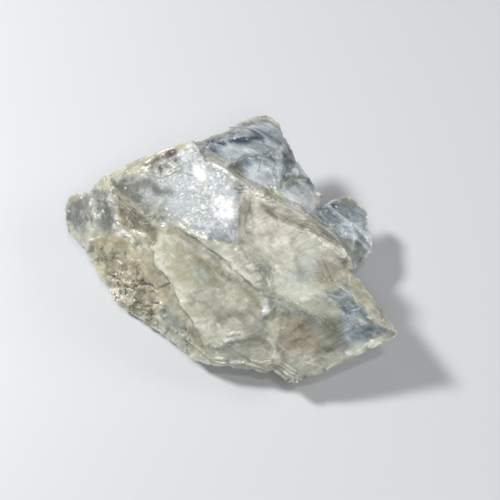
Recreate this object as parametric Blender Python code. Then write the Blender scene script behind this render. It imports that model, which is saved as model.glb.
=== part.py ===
"""A petalite crystal: one cleavage fragment, 65 mm long, that lies on a small flat break.

The solid is two skins sewn together along the rim, which is the widest outline of the stone. Each skin
is a taut membrane stretched between creases: the sharp lines where two cleavage faces meet. Loads push a
membrane in or out, which makes the shell-shaped hollows and the swellings between the creases.

Points are (x, y, z) in millimetres: x to the right, y to the back, z up from the surface it rests on.
"""

import math

import bmesh
import bpy
import numpy as np
from mathutils import Vector, noise
from mathutils.geometry import delaunay_2d_cdt

MM = 0.001
NODE_NAME = "petalite_crystal"

SPACING = 1.15  # between the points of a skin
CLEAR_OF_CREASE = 0.55  # share of the spacing that grid points keep from a crease
SEAM = 0.02  # rim points of the two skins that are nearer than this are one
TOP_TILT_DEG = 28.0  # seen square on from this far to the front, the upper skin hides none of itself
INSIDE_RIM = 1  # delaunay_2d_cdt keeps the triangles that an outline encloses
UNDER_TILT_DEG = 0.0  # the under skin hides none of itself from straight below

# --- corners where several creases meet -----------------------------------------------------------
PEAK = (3.0, 5.0, 23.5)  # the highest point, at the head of the hollow
SADDLE = (1.0, -6.0, 21.0)  # where the middle ridge turns
BROW = (-5.0, 12.5, 22.0)  # the back corner of the bright face
CROWN = (-7.5, 17.0, 21.0)  # the small tooth on the back edge
BLOCK = (9.5, 9.0, 16.0)  # the inner corner of the back block
SLAB_START = (23.0, -7.0, 13.0)  # where the front slab's edge leaves the notch
HEEL = (8.5, -16.0, 15.0)  # the front end of the middle ridge
FOOT = (8.0, -24.0, 5.5)  # the corner between the front face and the front slab

# --- the rim, clockwise from the left tip ---------------------------------------------------------
RIM = [
    # the small clear lobe at the left end
    (-34.0, 11.0, 5.0), (-33.0, 12.5, 7.5), (-31.0, 13.0, 8.5), (-28.5, 12.5, 9.0), (-27.5, 13.5, 10.5),
    (-25.5, 14.5, 12.0),
    # the long back edge of the bright face
    (-22.5, 15.0, 14.0), (-17.5, 16.0, 16.5), (-12.0, 16.7, 19.0), CROWN,
    # the back slab, up to its far corner and down its right side
    (-7.0, 17.5, 19.5), (-1.5, 21.0, 18.0), (1.5, 24.0, 17.0), (5.5, 26.5, 16.0), (7.0, 27.0, 15.5),
    (9.5, 25.0, 15.0), (11.3, 20.8, 14.5), (13.0, 17.0, 13.5), (15.5, 14.3, 12.5), (17.0, 11.7, 11.5),
    (18.0, 10.7, 11.0), (17.5, 9.0, 9.5),
    # the thin plate that stands out at the right
    (20.2, 10.5, 9.5), (23.0, 12.0, 9.0), (25.0, 11.0, 8.5), (27.3, 8.7, 8.0), (27.0, 5.0, 8.0),
    (27.8, 2.8, 7.5), (27.7, 0.5, 7.0), (26.0, -2.0, 7.0), (24.0, -3.7, 7.5),
    # the front slab, round its right tip to its foot
    SLAB_START, (25.5, -10.7, 12.5), (28.0, -14.7, 12.5), (29.7, -17.4, 12.5), (30.7, -19.2, 12.3),
    (30.5, -19.9, 11.5), (21.3, -23.5, 8.5), (14.5, -25.8, 6.0), (11.1, -26.8, 5.0), FOOT,
    # the foot of the big front face
    (6.3, -24.2, 4.5), (3.5, -23.4, 4.5), (-0.4, -22.9, 5.0), (-3.3, -22.9, 4.5), (-7.0, -21.3, 3.5),
    # the crumbled left side
    (-11.0, -17.3, 2.5), (-15.3, -13.8, 2.0), (-18.4, -11.7, 2.0), (-22.0, -9.7, 2.0), (-23.3, -8.0, 2.5),
    (-25.9, -3.6, 2.5), (-29.2, 2.0, 3.0), (-33.2, 6.3, 3.5),
]

# --- creases of the upper skin, each a line of points ---------------------------------------------
LIP = [  # the long straight ridge along the back of the hollow
    CROWN, BROW, (-0.8, 9.2, 22.6), PEAK, (7.6, 3.3, 21.8), (11.7, 1.9, 20.2), (14.4, 0.8, 18.8),
    (16.3, -0.4, 17.8), (19.0, -2.0, 16.4), (21.4, -3.5, 15.2), (22.0, -5.0, 14.5), SLAB_START,
]
CLIFF_FOOT = [  # the foot of the ridge's back wall
    (-5.3, 14.6, 20.3), (-0.2, 11.6, 19.8), (4.0, 8.9, 18.4), (8.4, 7.0, 17.0), (12.8, 5.4, 15.4),
    (15.8, 4.6, 12.8), (17.8, 4.3, 10.6), (20.8, 1.7, 9.5), (23.4, -0.6, 8.8), (23.6, -2.6, 8.0),
]
LIP_INSIDE = [  # the front edge of the ridge's narrow top
    PEAK, (4.2, 3.4, 22.0), (6.4, 1.9, 20.4), (10.8, 0.4, 18.4), (14.9, -1.1, 16.6), (19.2, -3.7, 14.7),
    (21.3, -5.4, 14.0), SLAB_START,
]
BRIGHT_FACE_RIGHT = [PEAK, (2.5, 3.5, 22.8), (1.7, 0.8, 22.4), (1.6, -2.2, 21.8), SADDLE]
BRIGHT_FACE_LEFT = [
    (-25.5, 14.5, 12.0), (-24.3, 12.1, 12.5), (-22.6, 10.0, 13.1), (-21.0, 8.1, 13.8), (-18.0, 5.5, 15.0),
    (-15.1, 2.2, 15.6),
]
BRIGHT_FACE_BEVEL = [(-22.5, 15.0, 14.0), (-22.2, 12.4, 14.3), (-17.8, 13.0, 16.8), (-10.0, 14.2, 20.3), CROWN]
MIDDLE_RIDGE = [
    (-12.0, 1.4, 17.1), (-9.3, -0.5, 18.1), (-6.6, -2.6, 19.0), (-4.2, -4.4, 19.8), (-1.5, -5.6, 20.5),
    SADDLE, (2.2, -7.7, 20.3), (3.8, -8.9, 19.7), (4.8, -9.9, 19.1), (5.3, -11.4, 18.0), (5.7, -13.0, 17.0),
    (6.0, -14.1, 16.2),
]
FRONT_STEP = [  # the lower, parallel ridge in front of the middle one
    (-9.2, -2.4, 16.9), (-6.2, -4.5, 17.1), (-4.1, -5.9, 17.5), (-1.9, -7.5, 17.6), (0.0, -9.3, 17.6),
    (1.6, -10.9, 17.4), (3.5, -12.1, 17.0), (4.8, -13.2, 16.6), (6.0, -14.1, 16.2), (7.0, -15.1, 15.6), HEEL,
]
SIDE_CREASE = [  # from the bright face down to the foot: the crumbled side meets the big front face
    (-15.1, 2.2, 15.6), (-15.4, -0.5, 13.9), (-14.7, -4.1, 12.9), (-14.0, -5.9, 12.3), (-12.5, -7.6, 11.6),
    (-11.1, -10.0, 11.0), (-10.2, -12.4, 10.4), (-9.0, -14.4, 9.8), (-7.5, -16.1, 9.1), (-6.0, -17.5, 8.8),
    (-4.5, -20.1, 8.0), (-3.0, -20.7, 8.2),
]
FOOT_LEDGE = [(-3.0, -20.7, 8.2), (1.1, -20.2, 9.5), (3.6, -19.8, 10.4), (5.1, -19.4, 10.9), (6.8, -19.6, 11.1)]
FOOT_LEDGE_LOW = [(-2.2, -21.4, 7.2), (1.3, -21.0, 8.3), (3.9, -20.6, 9.1), (6.6, -20.5, 9.7)]
FRONT_SLAB_LEFT = [HEEL, (9.1, -18.1, 12.9), (9.0, -19.5, 12.0), (8.3, -20.7, 10.8), (8.0, -22.6, 8.5), FOOT]
FRONT_SLAB_BEVEL = [
    SLAB_START, (18.0, -11.4, 14.2), (21.2, -11.6, 14.1), (23.0, -13.0, 14.0), (24.2, -14.6, 13.9),
    (25.7, -16.4, 13.8), (28.0, -18.6, 13.3), (30.7, -19.2, 12.3),
]
FRONT_SLAB_HEAD = [HEEL, (10.9, -16.4, 15.3), (13.9, -17.3, 14.8), (16.7, -18.5, 14.2)]
HOLLOW_WALL = [  # the foot of the wall between the bright face and the hollow
    (4.2, 3.4, 22.0), (3.6, 2.4, 20.9), (3.1, 1.0, 20.0), (2.8, -0.8, 19.4), (3.2, -2.6, 18.8),
    (4.6, -4.1, 18.1), (6.7, -5.5, 17.3),
]
BACK_SLAB_BEVEL = [
    (-7.0, 17.5, 19.5), (-4.9, 16.5, 19.9), (0.5, 19.1, 18.7), (2.6, 20.4, 18.2), (7.9, 22.2, 17.1),
    (9.9, 18.1, 16.4), (10.3, 13.9, 15.6), BLOCK,
]
BACK_SLAB_STEP = [(-0.2, 11.6, 19.8), (2.1, 12.9, 19.2), (6.0, 15.4, 18.1), (9.9, 18.1, 16.4)]
BACK_SLAB_LEDGES = [
    [(13.0, 17.0, 13.5), (10.3, 13.9, 15.6)],
    [(15.7, 13.3, 12.4), (14.6, 12.8, 13.6), BLOCK, (8.4, 7.0, 17.0)],
]
PLATE_BEVEL = [(17.8, 6.7, 10.4), (21.5, 8.9, 10.0), (23.2, 7.0, 10.1), (24.2, 1.8, 9.6), (23.6, -2.6, 8.0)]
PLATE_RIDGE = [(23.2, 7.0, 10.1), (25.9, 6.9, 8.9)]
LOBE_RIDGES = [
    [(-28.5, 12.5, 9.0), (-27.6, 10.4, 10.6), (-28.6, 5.4, 9.4), (-27.9, 1.2, 7.4)],
    [(-22.6, 10.0, 13.1), (-22.9, 3.1, 11.6), (-20.6, 0.9, 12.0), (-17.6, -1.5, 12.5), (-15.4, -0.5, 13.9)],
    [(-27.6, 10.4, 10.6), (-24.3, 12.1, 12.5)],
]

CREASES = [
    LIP, CLIFF_FOOT, LIP_INSIDE, BRIGHT_FACE_RIGHT, BRIGHT_FACE_LEFT, BRIGHT_FACE_BEVEL, MIDDLE_RIDGE,
    FRONT_STEP, SIDE_CREASE, FOOT_LEDGE, FOOT_LEDGE_LOW, FRONT_SLAB_LEFT, FRONT_SLAB_BEVEL, FRONT_SLAB_HEAD,
    HOLLOW_WALL, BACK_SLAB_BEVEL, BACK_SLAB_STEP, *BACK_SLAB_LEDGES, PLATE_BEVEL, PLATE_RIDGE, *LOBE_RIDGES,
]

# --- loads on the upper skin: (x, y, z of the middle, radius, how far it swells; under 0 it is a hollow)
LOADS = [
    (10.0, -3.5, 17.0, 9.0, -2.6),  # the shell-shaped hollow beside the peak
    (15.0, -17.0, 13.5, 9.0, 0.9),
    (-3.0, -14.0, 14.0, 9.0, 0.9),  # the big front face is slightly full
    (5.5, 13.0, 18.0, 4.0, 0.8),  # the cloudy dome on the back slab
]

# --- the underside --------------------------------------------------------------------------------
BASE = [  # the flat break that the stone lies on
    (-27.0, 2.0, 0.0), (-23.0, 6.0, 0.0), (-14.0, 8.0, 0.0), (-5.0, 7.5, 0.0), (5.0, 4.5, 0.0),
    (12.5, -2.5, 0.0), (13.5, -11.0, 0.0), (9.0, -17.5, 0.0), (1.0, -19.5, 0.0), (-7.0, -17.0, 0.0),
    (-15.5, -11.0, 0.0), (-21.5, -6.5, 0.0), (-27.0, 2.0, 0.0),
]
BACK_WALL = [  # a ledge half way down the back, and on under the back slab
    (-34.0, 11.0, 5.0), (-31.5, 10.8, 4.4), (-28.5, 11.0, 5.0), (-26.0, 11.5, 6.0), (-21.5, 12.6, 7.8),
    (-17.0, 12.2, 7.0), (-12.5, 13.8, 9.6), (-9.0, 13.2, 8.8), (-3.0, 14.5, 10.0),
    (4.5, 14.0, 9.5), (11.0, 9.5, 7.5), (16.5, 5.5, 5.0), (21.0, 2.5, 4.5), (22.5, -1.0, 4.6),
    (21.5, -4.0, 5.2), (22.5, -7.8, 8.0),
]
BACK_SLAB_UNDER = [  # the broken edge of the back slab, 3 mm thick at its far corner
    (-4.5, 16.6, 15.0), (2.0, 22.6, 13.0), (6.9, 24.8, 12.3), (9.4, 22.6, 11.9), (11.5, 16.5, 10.6),
    (15.8, 10.0, 7.9),
]
FRONT_SLAB_UNDER = [  # the lower edge of the front slab's sides, 4 mm below its rim
    (22.5, -7.8, 8.0), (25.0, -13.3, 8.2), (27.8, -17.8, 8.4), (27.9, -18.8, 8.0), (20.4, -21.8, 4.6),
    (13.6, -24.0, 2.6), (10.6, -24.3, 1.8), (8.6, -21.7, 2.0),
]
BASE_RIDGES = [  # where the undercut sides turn a corner, each from the flat break outwards
    [(12.5, -2.5, 0.0), (21.5, -4.0, 5.2)],
    [(13.5, -11.0, 0.0), (27.8, -17.8, 8.4)],
    [(5.0, 4.5, 0.0), (11.0, 9.5, 7.5), (11.5, 16.5, 10.6)],
    [(-5.0, 7.5, 0.0), (-3.0, 14.5, 10.0), (-4.5, 16.6, 15.0), CROWN],
    [(-23.0, 6.0, 0.0), (-26.0, 11.5, 6.0)],
    [(9.0, -17.5, 0.0), (8.6, -21.7, 2.0)],
]
UNDER_CREASES = [BASE, BACK_WALL, BACK_SLAB_UNDER, FRONT_SLAB_UNDER, *BASE_RIDGES]

# --- the break's roughness: (x, y, z of the middle, radius, depth of the roughness, size of its lumps)
EVEN_ROUGHNESS = (0.12, 5.0)  # depth and size of the waves that every face has
ROUGH_PATCHES = [
    (-22.0, -4.0, 6.0, 8.0, 0.75, 3.2),  # the crumbled left side
    (-15.5, -9.5, 6.0, 6.5, 0.65, 2.8),
    (-8.0, -16.5, 6.0, 6.0, 0.40, 2.8),
    (-28.5, 6.5, 7.0, 6.0, 0.50, 4.0),  # the small clear lobe
    (0.0, -22.0, 6.0, 4.5, 0.35, 2.4),  # the foot of the big front face
    (13.0, 13.0, 14.0, 6.0, 0.35, 3.4),  # the right side of the back slab
    (-6.0, 18.0, 9.0, 9.0, 0.50, 5.0),  # the back wall
    (-20.0, 14.0, 7.0, 9.0, 0.50, 5.0),
    (17.0, -12.0, 4.0, 9.0, 0.45, 5.0),  # under the front slab
]
LUMP_EDGE = 0.45  # in lump sizes: nearer than this to its middle a lump stands out, further off it is a dip
BASE_CLEARANCE = 1.5  # below this height the roughness dies out, so that the flat break stays flat


def drape(point, tilt_deg):
    """Where a point lies on the plane that a skin is draped over, and its height above that plane."""
    x, y, z = point
    tilt = math.radians(tilt_deg)
    return x, y * math.cos(tilt) + z * math.sin(tilt), z * math.cos(tilt) - y * math.sin(tilt)


def undrape(u, v, height, tilt_deg):
    """The point that drape() came from."""
    tilt = math.radians(tilt_deg)
    return u, v * math.cos(tilt) - height * math.sin(tilt), v * math.sin(tilt) + height * math.cos(tilt)


def divided(line):
    """The points of a line, with more between them so that none are further apart than the spacing."""
    points = [np.array(line[0], float)]
    for end in line[1:]:
        start, end = points[-1], np.array(end, float)
        steps = max(1, math.ceil(np.linalg.norm(end - start) / SPACING))
        points += [start + (end - start) * step / steps for step in range(1, steps + 1)]
    return points


def gather_lines(lines, tilt_deg):
    """Every crease point once as (u, v, height), and the pairs of points that the creases join."""
    found, spots, pairs = {}, [], set()
    for line in lines:
        last = None
        for point in divided(line):
            key = tuple(np.round(point, 4))
            if key not in found:
                found[key] = len(spots)
                spots.append(drape(point, tilt_deg))
            here = found[key]
            if last is not None and last != here:
                pairs.add((min(last, here), max(last, here)))
            last = here
    return np.array(spots), sorted(pairs)


def distance_to(spot, starts, ends):
    """The shortest distance in the draping plane from a spot to any of the crease segments."""
    along = ends - starts
    share = np.clip(((spot - starts) * along).sum(1) / (along**2).sum(1), 0, 1)
    return np.linalg.norm(starts + along * share[:, None] - spot, axis=1).min()


def grid_between(spots, pairs):
    """A triangular grid of spots that keeps clear of every crease."""
    starts, ends = (np.array([spots[pair[side]][:2] for pair in pairs]) for side in (0, 1))
    low, high = spots[:, :2].min(0), spots[:, :2].max(0)
    row_height = SPACING * math.sqrt(3) / 2
    grid = []
    for row in range(int((high[1] - low[1]) / row_height) + 1):
        shift = SPACING / 2 if row % 2 else 0.0
        for column in range(int((high[0] - low[0]) / SPACING) + 1):
            spot = np.array([low[0] + shift + column * SPACING, low[1] + row * row_height])
            if distance_to(spot, starts, ends) > CLEAR_OF_CREASE * SPACING:
                grid.append(spot)
    return np.array(grid)


def stretched(flat, faces, fixed_heights, load_at):
    """Heights of a membrane that is held at the crease points and pushed by the loads elsewhere."""
    count, held = len(flat), len(fixed_heights)
    pull, push = np.zeros((count, count)), np.zeros(count)
    for face in faces:
        for a, b in zip(face, face[1:] + face[:1]):
            pull[a, b] = pull[b, a] = 1.0
    neighbours = pull.sum(1)
    for spot in range(held, count):
        push[spot] = load_at(flat[spot]) * SPACING**2 / 4 * neighbours[spot]
    matrix = np.diag(neighbours) - pull
    heights = np.zeros(count)
    heights[:held] = fixed_heights
    free = slice(held, count)
    heights[free] = np.linalg.solve(matrix[free, free], push[free] - matrix[free, :held] @ heights[:held])
    return heights


def load_function(loads, tilt_deg):
    """A function that gives the push at a spot of the draping plane. Each load swells a membrane as far as
    it says if the membrane is held round its radius."""
    placed = [(np.array(drape(load[:3], tilt_deg)[:2]), load[3], load[4]) for load in loads]

    def load_at(spot):
        return sum(
            4 * swell / radius**2 * math.exp(-float(((spot - middle) ** 2).sum()) / radius**2)
            for middle, radius, swell in placed
        )

    return load_at


def skin(creases, loads, tilt_deg):
    """(points, triangles) of one skin, which ends at the rim."""
    spots, pairs = gather_lines([RIM + RIM[:1], *creases], tilt_deg)
    grid = grid_between(spots, pairs)
    flat = np.vstack([spots[:, :2], grid])
    faces, origins = delaunay_2d_cdt([Vector(spot) for spot in flat], pairs, [], INSIDE_RIM, 1e-6)[2:4]
    if any(len(origin) != 1 for origin in origins):
        raise ValueError("two creases cross where they share no point")
    faces = [[origins[corner][0] for corner in face] for face in faces]
    used = sorted({corner for face in faces for corner in face})
    faces = [[used.index(corner) for corner in face] for face in faces]
    flat = flat[used]
    heights = stretched(flat, faces, spots[:, 2], load_function(loads, tilt_deg))
    return [undrape(u, v, height, tilt_deg) for (u, v), height in zip(flat, heights)], faces


def sewn(upper, under):
    """One closed mesh from both skins, in metres."""
    mesh = bmesh.new()
    for points, faces in (upper, under):
        corners = [mesh.verts.new(Vector(point) * MM) for point in points]
        for face in faces:
            mesh.faces.new([corners[corner] for corner in face])
    bmesh.ops.remove_doubles(mesh, verts=mesh.verts, dist=SEAM * MM)
    bmesh.ops.recalc_face_normals(mesh, faces=mesh.faces)
    return mesh


def roughen(mesh):
    """Gives every face its waves and the crumbled patches their lumps. Points on the flat break stay."""
    mesh.normal_update()
    moves = []
    for vert in mesh.verts:
        place = vert.co / MM
        depth, size = EVEN_ROUGHNESS
        move = depth * noise.noise(place / size)
        for x, y, z, radius, depth, size in ROUGH_PATCHES:
            inside = 1.0 - (place - Vector((x, y, z))).length / radius
            if inside > 0.0:
                lump = LUMP_EDGE - noise.voronoi(place / size)[0][0]
                move += depth * lump / LUMP_EDGE * min(1.0, 2.0 * inside)
        moves.append(vert.normal * move * min(1.0, place.z / BASE_CLEARANCE))
    for vert, move in zip(mesh.verts, moves):
        vert.co += move * MM


def centre(mesh):
    """Puts the middle of the plan at the origin. The flat break is at height 0 already."""
    places = [vert.co for vert in mesh.verts]
    middle = [(min(place[axis] for place in places) + max(place[axis] for place in places)) / 2 for axis in (0, 1)]
    bmesh.ops.translate(mesh, verts=mesh.verts, vec=(-middle[0], -middle[1], 0.0))


def crystal_material():
    """Pale, slightly green petalite with a glassy break."""
    material = bpy.data.materials.new("petalite")
    material.use_nodes = True
    shader = material.node_tree.nodes["Principled BSDF"]
    shader.inputs["Base Color"].default_value = (0.62, 0.62, 0.52, 1.0)
    shader.inputs["Roughness"].default_value = 0.2
    shader.inputs["Metallic"].default_value = 0.0
    shader.inputs["IOR"].default_value = 1.51
    shader.inputs["Transmission Weight"].default_value = 0.7
    return material


def clear_scene():
    """Removes whatever the scene holds."""
    for item in list(bpy.data.objects):
        bpy.data.objects.remove(item)


def main():
    clear_scene()
    upper = skin(CREASES, LOADS, TOP_TILT_DEG)
    under = skin(UNDER_CREASES, [], UNDER_TILT_DEG)
    mesh = sewn(upper, under)
    roughen(mesh)
    centre(mesh)
    data = bpy.data.meshes.new(NODE_NAME)
    mesh.to_mesh(data)
    mesh.free()
    data.materials.append(crystal_material())
    crystal = bpy.data.objects.new(NODE_NAME, data)
    bpy.context.scene.collection.objects.link(crystal)


main()
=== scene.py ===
"""Dresses the petalite crystal: its broken skin with sheets, ripples, cracks, facets and crumbled places,
its clear, milky and stained parts, the grains on its crumbled side, and the table, lamps and camera that
show it.

Places are millimetres in the frame of the part, with x to the right, y to the back and z up. The upper side
is also laid out flat, as it is seen square on: a flat place is x and how far up the slope it lies."""

import logging
import math
from collections.abc import Sequence
from dataclasses import dataclass
from enum import Enum

import bmesh
import bpy
import numpy as np
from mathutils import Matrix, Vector, noise
from mathutils.kdtree import KDTree


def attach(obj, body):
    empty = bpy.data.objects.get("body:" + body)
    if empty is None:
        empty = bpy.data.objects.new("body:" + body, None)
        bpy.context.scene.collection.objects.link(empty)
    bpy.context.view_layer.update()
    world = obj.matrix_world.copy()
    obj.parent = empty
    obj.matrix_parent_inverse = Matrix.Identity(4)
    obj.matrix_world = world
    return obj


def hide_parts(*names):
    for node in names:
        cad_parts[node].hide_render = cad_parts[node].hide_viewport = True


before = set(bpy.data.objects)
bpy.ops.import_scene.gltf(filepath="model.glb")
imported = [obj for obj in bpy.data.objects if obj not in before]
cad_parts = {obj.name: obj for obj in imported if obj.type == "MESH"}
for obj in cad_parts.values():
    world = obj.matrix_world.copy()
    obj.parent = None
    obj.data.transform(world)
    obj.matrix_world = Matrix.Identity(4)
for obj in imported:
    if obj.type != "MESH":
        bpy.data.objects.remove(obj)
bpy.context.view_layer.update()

LOG = logging.getLogger("petalite")
MM = 0.001
NODE = "petalite_crystal"
BODY = "root"

# The upper side slopes towards the front by this much on the whole.
SLOPE_DEG = 28.0
UP_SLOPE = Vector((0.0, math.cos(math.radians(SLOPE_DEG)), math.sin(math.radians(SLOPE_DEG))))
OFF_SLOPE = Vector((0.0, -math.sin(math.radians(SLOPE_DEG)), math.cos(math.radians(SLOPE_DEG))))

# Petalite cleaves best along one direction. Streaks and long ridges run along the line that it shares with
# the next best one, and the broken sides show its layers as low steps.
CLEAVAGE_LINE = Vector((0.80, -0.48, -0.36)).normalized()
LAYER_NORMAL = Vector((-0.16, 0.20, 0.96)).normalized()
# The fine torn lines of a break run across them.
HACKLE_LINE = Vector((0.88, 0.40, 0.22)).normalized()

# Points closer than this are one point, in millimetres.
SAME_PLACE = 0.005
# Where the middle share of a noise texture's values lies.
NOISE_BAND = (0.3, 0.7)


def linear(code: str) -> tuple[float, float, float, float]:
    """Turns a colour of the finishes into the numbers that a shader takes.

    Args:
        code: an sRGB hex code such as "#d8dac8".

    Returns:
        The linear red, green, blue and an alpha of 1.
    """
    parts = (int(code[at : at + 2], 16) / 255 for at in (1, 3, 5))
    red, green, blue = (
        part / 12.92 if part <= 0.04045 else ((part + 0.055) / 1.055) ** 2.4 for part in parts
    )
    return red, green, blue, 1.0


def add_node(
    tree: bpy.types.NodeTree, kind: str, settings: dict | None = None, inputs: dict | None = None
) -> bpy.types.Node:
    """Adds a node to a tree.

    Args:
        tree: the tree that gets it.
        kind: the node's type name.
        settings: its properties by name.
        inputs: for a socket's name or number, its value or the output socket that it is linked to.

    Returns:
        The new node.
    """
    node = tree.nodes.new(kind)
    for name, value in (settings or {}).items():
        setattr(node, name, value)
    for name, value in (inputs or {}).items():
        if isinstance(value, bpy.types.NodeSocket):
            tree.links.new(value, node.inputs[name])
        else:
            node.inputs[name].default_value = value
    return node


def evaluated(data: bpy.types.Mesh, kind: str, settings: dict, inputs: dict | None = None) -> bpy.types.Mesh:
    """Runs a mesh through one modifier.

    Args:
        data: the mesh, which is removed.
        kind: the modifier's type.
        settings: its properties by name.
        inputs: for Geometry Nodes, the value of each named input.

    Returns:
        The mesh that comes out.
    """
    holder = bpy.data.objects.new("holder", data)
    bpy.context.scene.collection.objects.link(holder)
    modifier = holder.modifiers.new(kind.lower(), kind)
    for name, value in settings.items():
        setattr(modifier, name, value)
    for name, value in (inputs or {}).items():
        modifier[modifier.node_group.interface.items_tree[name].identifier] = value
    graph = bpy.context.evaluated_depsgraph_get()
    made = bpy.data.meshes.new_from_object(holder.evaluated_get(graph))
    bpy.data.objects.remove(holder)
    bpy.data.meshes.remove(data)
    return made


def eased(share: np.ndarray) -> np.ndarray:
    """Turns a share into a soft step: 0 below 0, 1 above 1 and smooth between them."""
    share = np.clip(share, 0.0, 1.0)
    return share * share * (3.0 - 2.0 * share)


def smooth_noise(places: np.ndarray, size: float, seed: float = 0.0) -> np.ndarray:
    """Gives soft noise from about -1 to 1.

    Args:
        places: rows of x, y and z in millimetres.
        size: the size of its swells, in millimetres.
        seed: picks another pattern.

    Returns:
        One value for each place.
    """
    return np.array([noise.noise(row) for row in (places / size + seed).tolist()])


def facet_noise(places: np.ndarray, size: float, seed: float, share: np.ndarray) -> np.ndarray:
    """Gives the heights of a break into small flat facets, each tilted its own way.

    Args:
        places: rows of x, y and z in millimetres.
        size: about how wide a facet is, in millimetres.
        seed: picks another pattern.
        share: how much of the height each place gets, which may be 0.

    Returns:
        One height for each place, mostly from -0.5 to 0.5 times its share.
    """
    heights = np.zeros(len(places))
    for at in np.flatnonzero(share):
        row = Vector(places[at]) / size + Vector((seed, seed, seed))
        middle = noise.voronoi(row)[1][0]
        tilt = noise.cell_vector(middle * 31.7) - Vector((0.5, 0.5, 0.5))
        heights[at] = share[at] * (1.6 * tilt.dot(row - middle) + 0.5 * tilt.x)
    return heights


def stretched(places: np.ndarray, share: float) -> np.ndarray:
    """Draws places together along the cleavage, so that a pattern read there comes out longer that way.

    Args:
        places: rows of x, y and z in millimetres.
        share: how much of their run along the cleavage is taken off.

    Returns:
        The drawn places.
    """
    cleavage = np.array(CLEAVAGE_LINE)
    return places - share * np.outer(places @ cleavage, cleavage)


def laid_flat(places: np.ndarray) -> np.ndarray:
    """Lays places of the upper side out flat: rows of x and of how far up the slope."""
    return np.column_stack([places[:, 0], places @ np.array(UP_SLOPE)])


def facing_up(normals: np.ndarray, least: float, band: float) -> np.ndarray:
    """Tells how far faces belong to the upper side.

    Args:
        normals: the way that each faces.
        least: how far it has to turn that way to count at all, as a cosine.
        band: how much further it turns until it counts fully.

    Returns:
        One share for each, from 0 to 1.
    """
    return eased((normals @ np.array(OFF_SLOPE) - least) / band)


def depth_inside(flat: np.ndarray, corners: Sequence[tuple[float, float]]) -> np.ndarray:
    """Measures how far inside a closed line flat places lie.

    Args:
        flat: rows of two numbers in millimetres.
        corners: the corners of the line.

    Returns:
        For each place its distance from the line in millimetres, less than 0 outside it.
    """
    x, y = flat.T
    nearest = np.full(len(flat), np.inf)
    inside = np.zeros(len(flat), bool)
    for (x0, y0), (x1, y1) in zip(corners, (*corners[1:], corners[0])):
        dx, dy = x1 - x0, y1 - y0
        along = np.clip(((x - x0) * dx + (y - y0) * dy) / (dx * dx + dy * dy), 0.0, 1.0)
        nearest = np.minimum(nearest, np.hypot(x - x0 - along * dx, y - y0 - along * dy))
        inside ^= ((y0 > y) != (y1 > y)) & (x < x0 + (y - y0) * dx / (dy or 1.0))
    return np.where(inside, nearest, -nearest)


def line_frame(places: np.ndarray, points: Sequence[tuple[float, float, float]]) -> tuple[np.ndarray, ...]:
    """Finds where places lie beside a line.

    Args:
        places: rows of x, y and z in millimetres.
        points: the points that the line runs through.

    Returns:
        Three arrays: the distance from the line, the same but less than 0 on its right as seen from above,
        and how far along the line the nearest point is, from 0 to 1.
    """
    corners = np.array(points)
    lengths = np.linalg.norm(np.diff(corners, axis=0), axis=1)
    before = np.concatenate([[0.0], np.cumsum(lengths)])
    nearest = np.full(len(places), np.inf)
    side = np.zeros(len(places))
    along = np.zeros(len(places))
    for at, length in enumerate(lengths):
        way = (corners[at + 1] - corners[at]) / length
        offset = places - corners[at]
        run = np.clip(offset @ way, 0.0, length)
        aside = offset - run[:, None] * way
        away = np.linalg.norm(aside, axis=1)
        closer = away < nearest
        leftwards = aside @ np.cross(np.array(OFF_SLOPE), way)
        nearest = np.where(closer, away, nearest)
        side = np.where(closer, np.where(leftwards > 0.0, away, -away), side)
        along = np.where(closer, (before[at] + run) / before[-1], along)
    return nearest, side, along


@dataclass(frozen=True)
class Look:
    """What a stretch of the stone shows: its colour, and how cloudy and how dull it is, from 0 to 1."""

    colour: str
    cloud: float
    dull: float


class Tone(Enum):
    """The kinds of stone that the crystal shows, and the painted shade and highlights laid over them."""

    MILKY = Look("#cacab6", 0.74, 0.08)  # full of fine cracks
    PALE = Look("#dcdccb", 0.82, 0.10)  # milky and nearly white
    CREAM = Look("#f8f4e4", 0.86, 0.18)  # the whitest, a little warm
    FROST_AND_SHEEN = Look("#b2babf", 0.86, 0.45)  # white bloom on the bright face, lightened as painted sheen where it gleams
    PAINTED_GLINT = Look("#ffffff", 1.0, 0.12)  # painted highlight: white where a clean flake would throw the light back
    MIST = Look("#dfe6ea", 0.74, 0.10)  # white cloud in clear stone
    WHITE = Look("#f2f4f4", 0.95, 0.35)  # crushed to white; also painted highlight where a face gleams or a crest glints
    SHADED_SATIN = Look("#4f544c", 0.80, 1.0)  # the bright face, which gleams all over; its dark colour is painted shade where the face misses the light
    DRAB = Look("#4c463a", 0.82, 0.62)  # flat and beige, seen into its depth
    SAGE = Look("#a4a796", 0.70, 0.08)  # milky over darker stone
    GREY = Look("#a4aaa2", 0.74, 0.38)  # weathered grey
    SHADE = Look("#8b8d80", 0.62, 0.25)  # painted shade, as in the depth of a fold
    SMOKY_AND_SHADE = Look("#6c7069", 0.8, 0.65)  # dull and smoky; also painted shade along a crease and at the thin plate's lower edge
    OLIVE = Look("#9f987e", 0.76, 0.12)  # stained by clay
    TAN = Look("#bcb498", 0.80, 0.3)  # stained by iron
    BROWN = Look("#827559", 0.86, 0.5)  # dirt in the cracks
    CRUMB = Look("#c4b698", 0.86, 0.45)  # crumbled and dusty
    BLUSH = Look("#c4b29c", 0.78, 0.16)  # a pink stain
    CLEAR = Look("#8296a4", 0.36, 0.06)  # nearly clear
    DEEP = Look("#2e4066", 0.3, 0.25)  # clear and dark, with a blue depth
    AQUA = Look("#8fa2a6", 0.66, 0.08)  # milky with a blue depth


@dataclass(frozen=True)
class Area:
    """A stretch of one tone on the upper side, inside a line through flat corners, and how many millimetres
    wide its border is."""

    tone: Tone
    corners: tuple[tuple[float, float], ...]
    strength: float = 1.0
    fade: float = 0.7


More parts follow.
